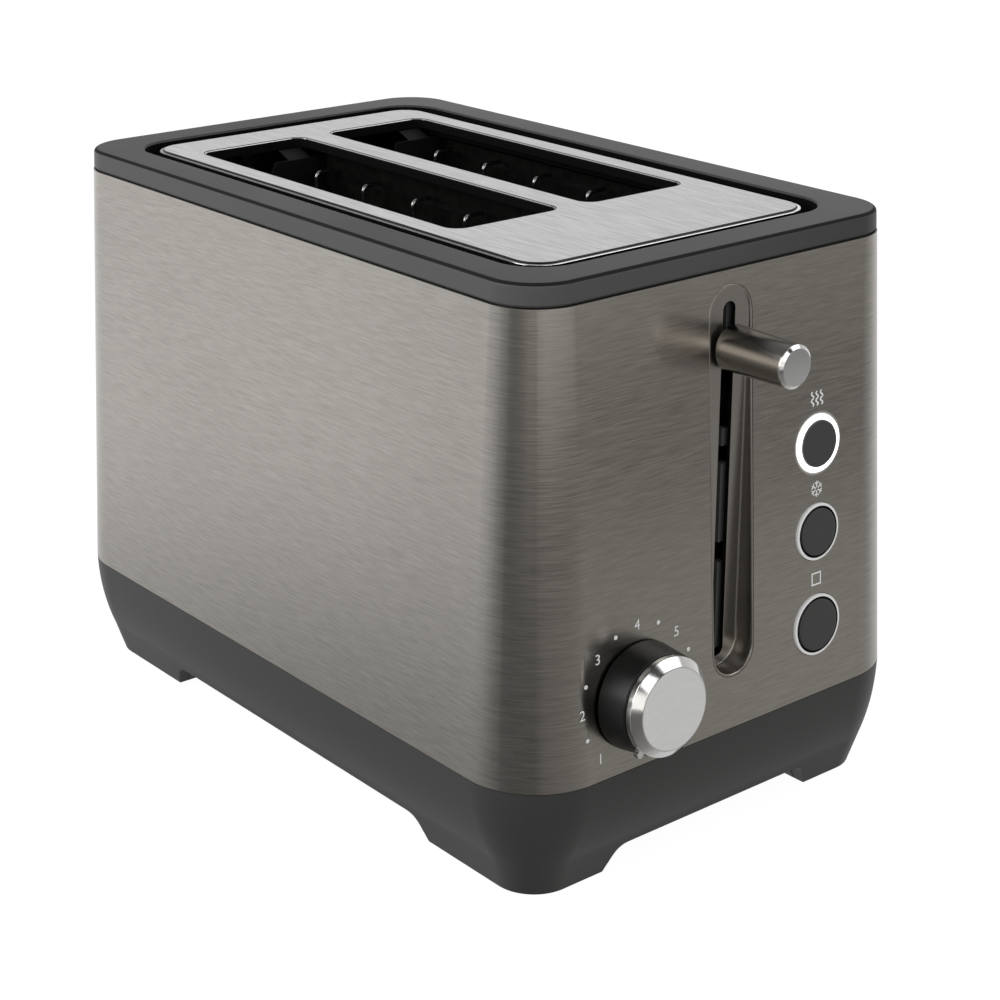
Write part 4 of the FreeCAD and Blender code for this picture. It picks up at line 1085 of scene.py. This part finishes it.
# Painted light: the steel round the lit ring glows faintly, as if the ring's light fell on it.
from_ring = shell_steel.node("VectorMath", {"operation": "DISTANCE"}, {0: shell_steel.where(), 1: lit_middle}, 1)
painted_glow = shell_steel.spread(from_ring, (lit_radius - 0.4) * MM, (lit_radius + 1.9) * MM, 1.0, 0.0)
shell_steel.shader.inputs["Emission Strength"].default_value = 0.6
shell_steel.feed(shell_steel.shader.inputs["Emission Color"],
                 shell_steel.mix(painted_glow * painted_glow, grey(0.0), grey(1.0)))
pale_width = {"reheat": 1.25, "defrost": 0.9, "stop": 0.9}
for name, (across, height, radius) in buttons.items():
    place = on_face(across, height)
    button_radius = radius - 1.7
    inner = button_radius + 0.15
    pale = radius - pale_width[name]
    ring_profile = [(inner, -3.0), (radius + 1.5, -3.0), (radius + 1.5, -0.95), (radius, -0.95), (radius, 0.55),
                    (radius - 0.08, 0.73), (radius - 0.28, 0.8), (pale, 0.8), (pale - 0.04, 0.5), (inner, 0.5)]
    ring = turned(name + "_light_ring", ring_profile, place, ring=True, steps=96)
    # Painted shade: on the unlit rings, the part inside the pale band is painted black as a gap.
    face_finish, wall_finish = (lit_ring, lit_ring) if name == "reheat" else (ring_plastic, shade_black)
    dressed(ring, face_finish, "housing", "light_ring", name + "_ring")
    middle = Vector((across, face_y(height), height))
    painted(ring, wall_finish, lambda x, y, z: (Vector((x, y, z)) - middle).length < pale)
    crown = softened([(0, -7), (button_radius, -7), (button_radius, 1.12), (button_radius - 0.9, 1.26), (0, 1.3)],
                     0.35)
    disc = turned(name + "_push_button", crown, place, steps=96)
    dressed(disc, button_plastic, name, "button_plastic", name + "_button")

# %% [markdown]
# ## Printing on the face
# The knob's scale is plain numbers with dots between them. Where the photograph has words over the buttons,
# this toaster has plain signs of what they do: rising heat, a snow crystal, a square for stop. They are
# printed ink on the real object, so they are shapes a twentieth of a millimetre thick on the face.

# %% Numbers, dots and signs
ink = Finish("printed_ink", Roughness=0.55)
ink.wear(colour=ink.mix(ink.even_noise(900), grey(0.84), grey(0.92)))
ink_low, ink_high = 0.02, 0.07


def stroke(path, width, place):
    """A line of ink with square ends, as a closed strip."""
    path = [Vector(p) for p in path]
    left, right = [], []
    for index, point in enumerate(path):
        before = point - path[index - 1] if index else path[1] - point
        after = path[index + 1] - point if index < len(path) - 1 else before
        run = (before.normalized() + after.normalized()).normalized()
        stretch = 1 / max(0.5, run.dot(after.normalized()))
        side = Vector((-run.y, run.x)) * width / 2 * stretch
        left.append(point + side)
        right.append(point - side)
    return prism("stroke", [tuple(p) for p in left + right[::-1]], place, ink_low, ink_high)


def number(text, height, across, rise, place):
    """A plain figure from Blender's own typeface, centred on a point of the face."""
    letter = bpy.data.curves.new("figure", "FONT")
    letter.body = text
    letter.size = height / 0.7
    letter.resolution_u = 6
    holder = linked("figure", letter)
    bpy.context.view_layer.update()
    flat = bpy.data.meshes.new_from_object(holder.evaluated_get(bpy.context.evaluated_depsgraph_get()))
    bpy.data.objects.remove(holder)
    xs = [v.co.x for v in flat.vertices]
    ys = [v.co.y for v in flat.vertices]
    middle_x, middle_y = (min(xs) + max(xs)) / 2, (min(ys) + max(ys)) / 2
    work = bmesh.new()
    work.from_mesh(flat)
    bmesh.ops.remove_doubles(work, verts=work.verts, dist=1e-5)
    raised = bmesh.ops.extrude_face_region(work, geom=list(work.faces))
    lifted = [v for v in raised["geom"] if isinstance(v, bmesh.types.BMVert)]
    high = set(lifted)
    for v in work.verts:
        v.co = at(*place(v.co.x - middle_x + across, v.co.y - middle_y + rise, ink_high if v in high else ink_low))
    bmesh.ops.recalc_face_normals(work, faces=work.faces)
    return final("figure", work)


def on_scale(angle):
    return scale_radius * sin(radians(angle)), scale_radius * cos(radians(angle))


scale_radius, dot_radius, digit_height = 23.5, 0.72, 3.4
marks = [number(digit, digit_height, *on_scale(angle), knob_place)
         for digit, angle in zip("1234567", range(-135, 180, 45))]
for step in range(6):
    across, rise = on_scale(-112.5 + 45 * step)
    marks.append(prism("dot", circle(dot_radius, 24, across, rise), knob_place, ink_low, ink_high))
dressed(joined("knob_scale", marks), ink, "housing", "shell_steel", sharp=20)
signs = []
sign_width = 0.55
button_x = 40.3
heat_place = on_face(button_x, 144.4)
for x in (-2.1, 0.0, 2.1):
    wave = [(x + 0.55 * sin(pi * t / 6), -2.4 + 4.8 * t / 24) for t in range(25)]
    signs.append(stroke(wave, sign_width, heat_place))
snow_place = on_face(button_x, 113.6)
for arm in range(6):
    way = Vector((sin(radians(60 * arm)), cos(radians(60 * arm))))
    aside = Vector((way.y, -way.x))
    signs.append(stroke([way * 0.55, way * 2.7], 0.42, snow_place))
    for side in (-1, 1):
        signs.append(stroke([way * 1.75 + aside * side * 0.3, way * 2.35 + aside * side * 0.95], 0.36, snow_place))
stop_place = on_face(button_x, 82.2)
square = [(-2.0, -2.0), (2.0, -2.0), (2.0, 2.0), (-2.0, 2.0), (-2.0, -2.0)]
for start, end in zip(square, square[1:]):
    back = (Vector(end) - Vector(start)).normalized() * 0.28
    signs.append(stroke([Vector(start) - back, Vector(end) - back], 0.5, stop_place))
dressed(joined("button_signs", signs), ink, "housing", "shell_steel", sharp=20)

# %% [markdown]
# ## The guard wires
# Inside each slot two wire guards close on the bread as it goes down. Each has five upright wires that hook
# outwards at the top, and three long bars. A wire is a circle swept along a path with rounded bends, and
# the hooks catch the light, which is what shows of them in the photograph.

# %% Guard wires
wire_radius, bar_offset = 0.75, 0.9
cage_top, cage_low, leg_pitch = 190.0, 66.0, 29.5
guard_wire = Finish("guard_wire", Metallic=1.0)
guard_wire.wear(colour=guard_wire.mix(guard_wire.even_noise(300), grey(0.36), grey(0.46)),
                roughness=guard_wire.even_noise(700) * 0.10 + 0.16)


def wire(name, path, radius, sides=12):
    """A round wire along a path, with a frame that is carried on without twisting."""
    path = [Vector(p) for p in path]
    runs = [(b - a).normalized() for a, b in zip(path, path[1:])]
    ways = [runs[0]] + [(a + b).normalized() for a, b in zip(runs, runs[1:])] + [runs[-1]]
    side = ways[0].orthogonal().normalized()
    rows = []
    for index, (point, way) in enumerate(zip(path, ways)):
        if index:
            side = ways[index - 1].rotation_difference(way) @ side
        side = (side - way * side.dot(way)).normalized()
        up = way.cross(side)
        rows.append([tuple(point + side * a + up * b) for a, b in circle(radius, sides)])
    return skin(name, rows)


def guard(left_or_right, inner_or_outer, slot_x, side):
    leg_x = slot_x + side * 17.8
    bar_x = leg_x + side * bar_offset
    wires = []
    for index in range(5):
        y = slot_middle_y + (index - 2) * leg_pitch
        wires.append(wire("hook", softened([(leg_x, y, cage_low), (leg_x, y, cage_top),
                                            (leg_x + side * 8.2, y, cage_top)], 2.6, steps=6), wire_radius))
    pivot_z = cage_low + 2.0
    for index in range(3):
        z = pivot_z + index * (cage_top - pivot_z - 8) / 2
        reach = 66.3 + (2.3 if index == 0 else -1.5)
        wires.append(wire("bar", [(bar_x, slot_middle_y - reach, z), (bar_x, slot_middle_y + reach, z)],
                          wire_radius))
    body = left_or_right + "_" + inner_or_outer + "_guard"
    node = left_or_right + "_slot_" + inner_or_outer + "_cage"
    dressed(joined(body + "_wires", wires), guard_wire, body, "guard_wire", node)


guard("left", "outer", slot_xs[0], -1)
guard("left", "inner", slot_xs[0], 1)
guard("right", "inner", slot_xs[1], -1)
guard("right", "outer", slot_xs[1], 1)

# %% [markdown]
# ## The lift spring
# A thin spring pulls the carriage up. It hangs between a shelf on the housing and a lug on the carriage, and
# on the real toaster it stretches as the lever goes down. Here it is a helix of even turns, fixed in the
# imported spring's place.

# %% Spring
spring_low, spring_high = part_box("lift_spring")
spring_middle = (spring_low + spring_high) / 2
coil_radius = (spring_high.x - spring_low.x) / 2 / MM - 0.4
coil_turns, coil_steps = 26, 14
spring_x = spring_middle.x / MM
spring_y = (spring_middle.y - body_middle) / MM
low_z, high_z = spring_low.z / MM + 0.4, spring_high.z / MM - 0.4
helix = []
for step in range(coil_turns * coil_steps + 1):
    share = step / (coil_turns * coil_steps)
    angle = 2 * pi * share * coil_turns
    helix.append((spring_x + coil_radius * cos(angle), spring_y + coil_radius * sin(angle),
                  low_z + (high_z - low_z) * share))
spring = wire("lift_spring_coil", helix, 0.4, sides=7)
spring.data.materials.append(plated_steel.material)
smooth(spring)
tuple(at(spring_x, spring_y, low_z))
tuple(at(spring_x, spring_y, high_z))
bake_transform(spring)
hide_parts("lift_spring")
print("spring of", coil_turns, "turns")

# %% [markdown]
# ## The crumb tray
# The tray is a coated steel pan that slides out at the rear. Its handle continues the curve of the base and
# has a scooped grip. The handle is cut from the base's own form, so the two surfaces meet without a step.

# %% Tray
tray_low, tray_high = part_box("crumb_tray")
pan_low = 13.0
pan_front = (tray_low.y - body_middle) / MM
handle_top = tray_high.z / MM
handle_front = half_length(widest_z) - crease_inset - 8.0
pan_half_width, pan_sheet, pan_rim = 49, 0.8, pan_low + 8.0


def pan_outline(inset, corner, z):
    half_run, middle = (handle_front - pan_front) / 2, (handle_front + pan_front) / 2
    return outline(pan_half_width - inset, half_run - inset, corner, z, (0, middle), steps=4)


pan = skin("pan", [pan_outline(0, 1.2, pan_low), pan_outline(0, 1.2, pan_rim),
                   pan_outline(pan_sheet, 0.9, pan_rim), pan_outline(pan_sheet, 0.9, pan_low + pan_sheet)])
tray_coat = moulded("tray_coat", grey(0.10), grey(0.14), roughness=0.42, grain=900, depth=0.00002)
handle = skin("handle", [outline(pan_half_width, 40, 0.6, z, (0, handle_front + 40), steps=3)
                         for z in (pan_low, handle_top)])
carved(handle, [skin("base_form", arc_rows(crease_z))], "INTERSECT")
scoop_y, scoop_z, scoop_radius, scoop_half_width = half_length(widest_z), handle_top + 1.3, 7.8, 22
scoop = circle(scoop_radius, 48, scoop_y, scoop_z)
carved(handle, [prism("scoop", scoop, along_x, -scoop_half_width, scoop_half_width)])
tray = carved(handle, [pan], "UNION")
tray.name = "crumb_tray_pan"
dressed(tray, tray_coat, "tray", "tray_steel", "crumb_tray", bevel=0.3, bevel_angle=40)
painted(tray, dark_plastic, lambda x, y, z: y > handle_front - 0.5)

# %% [markdown]
# ## Finishes for the parts inside
# The other parts keep the solids of the imported model: the well's plates, the racks, the cards and ribbons,
# and the controls behind the face. They show through the slots, the recess and the underside. Their solids
# are right, so each only gets its finish and smooth shading. In the photograph the well is nearly black, so
# the mica cards, the ribbons and the dark steel are painted near black: painted shade.

# %% Inner finishes
# Painted shade: the ribbons are made dark, as the well is in shade.
ribbon = Finish("heating_ribbon", Metallic=1.0)
heat = ribbon.even_noise(60, detail=3.0)
ribbon.wear(colour=ribbon.mix(heat, grey(0.025, (1.1, 0.98, 0.9)), grey(0.05, (1.05, 1.0, 0.98))),
            roughness=heat * 0.2 + 0.35)

# Painted shade: the mica, pale on the real toaster, is made near black.
mica = Finish("mica", Specular_IOR_Level=0.06)
flakes = mica.node("TexVoronoi", {"feature": "F1"}, {"Scale": 260.0, "Vector": mica.where()}, "Distance")
mica.wear(colour=mica.mix(flakes, grey(0.003, (1.1, 1.0, 0.9)), grey(0.008, (1.1, 1.0, 0.9))),
          roughness=flakes * 0.3 + 0.5, height=flakes, depth=0.00005, strength=0.4)

coil = Finish("coil", Metallic=1.0)
turns = coil.node("TexWave", {"bands_direction": "Z"},
                  {"Scale": 700.0, "Distortion": 0.4, "Detail": 1.0, "Vector": coil.where()}, "Fac")
coil.wear(colour=coil.mix(turns, (0.20, 0.07, 0.03, 1), (0.62, 0.28, 0.12, 1)), roughness=turns * 0.15 + 0.3,
          height=turns, depth=0.0001)

board = Finish("board", Coat_Weight=0.4, Coat_Roughness=0.25)
tracks = board.even_noise(180, detail=0.0).over(0.56)
board.wear(colour=board.mix(tracks, (0.014, 0.022, 0.016, 1), (0.030, 0.042, 0.032, 1)),
           roughness=board.even_noise(1400) * 0.2 + 0.4, height=tracks, depth=0.00003)

# Painted shade: the dark steel is made nearly black.
dark_steel = Finish("dark_steel", Specular_IOR_Level=0.10)
dark_steel_grain = dark_steel.noise((200, 200, 1400))
dark_steel.wear(colour=dark_steel.mix(dark_steel_grain, grey(0.004), grey(0.010)),
                roughness=dark_steel_grain * 0.2 + 0.40, height=dark_steel_grain, depth=0.00001)
turned_steel = plated("knob_metal", 0.40, 0.50, 0.3)
inner_finishes = {"dark_steel": dark_steel, "plated_steel": plated_steel, "guard_wire": guard_wire, "mica": mica,
                  "heating_ribbon": ribbon, "knob_metal": turned_steel, "board": board, "coil": coil,
                  "inner_plastic": inner_plastic, "knob_plastic": knob_plastic}
dressed_nodes = 0
for row in frame["record"]["subparts"]:
    part = frame["nodes"][row["node"]]
    if row["material_slot"] in inner_finishes and not part.hide_render:
        part.data.materials.clear()
        part.data.materials.append(inner_finishes[row["material_slot"]].material)
        smooth(part)
        dressed_nodes += 1
print(dressed_nodes, "nodes keep their solids")

# %% [markdown]
# ## The sizes
# Both boxes, the imported model's and the model's own, are kept, and the model's size is printed. The
# model's own box has to stay inside the imported model's.

# %% Sizes and finish
seen_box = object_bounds()
sizes = {"cad": [list(corner) for corner in cad_box], "visual": [list(corner) for corner in seen_box]}
print("size in mm:", [round((high - low) / MM, 1) for low, high in zip(*sizes["visual"])])
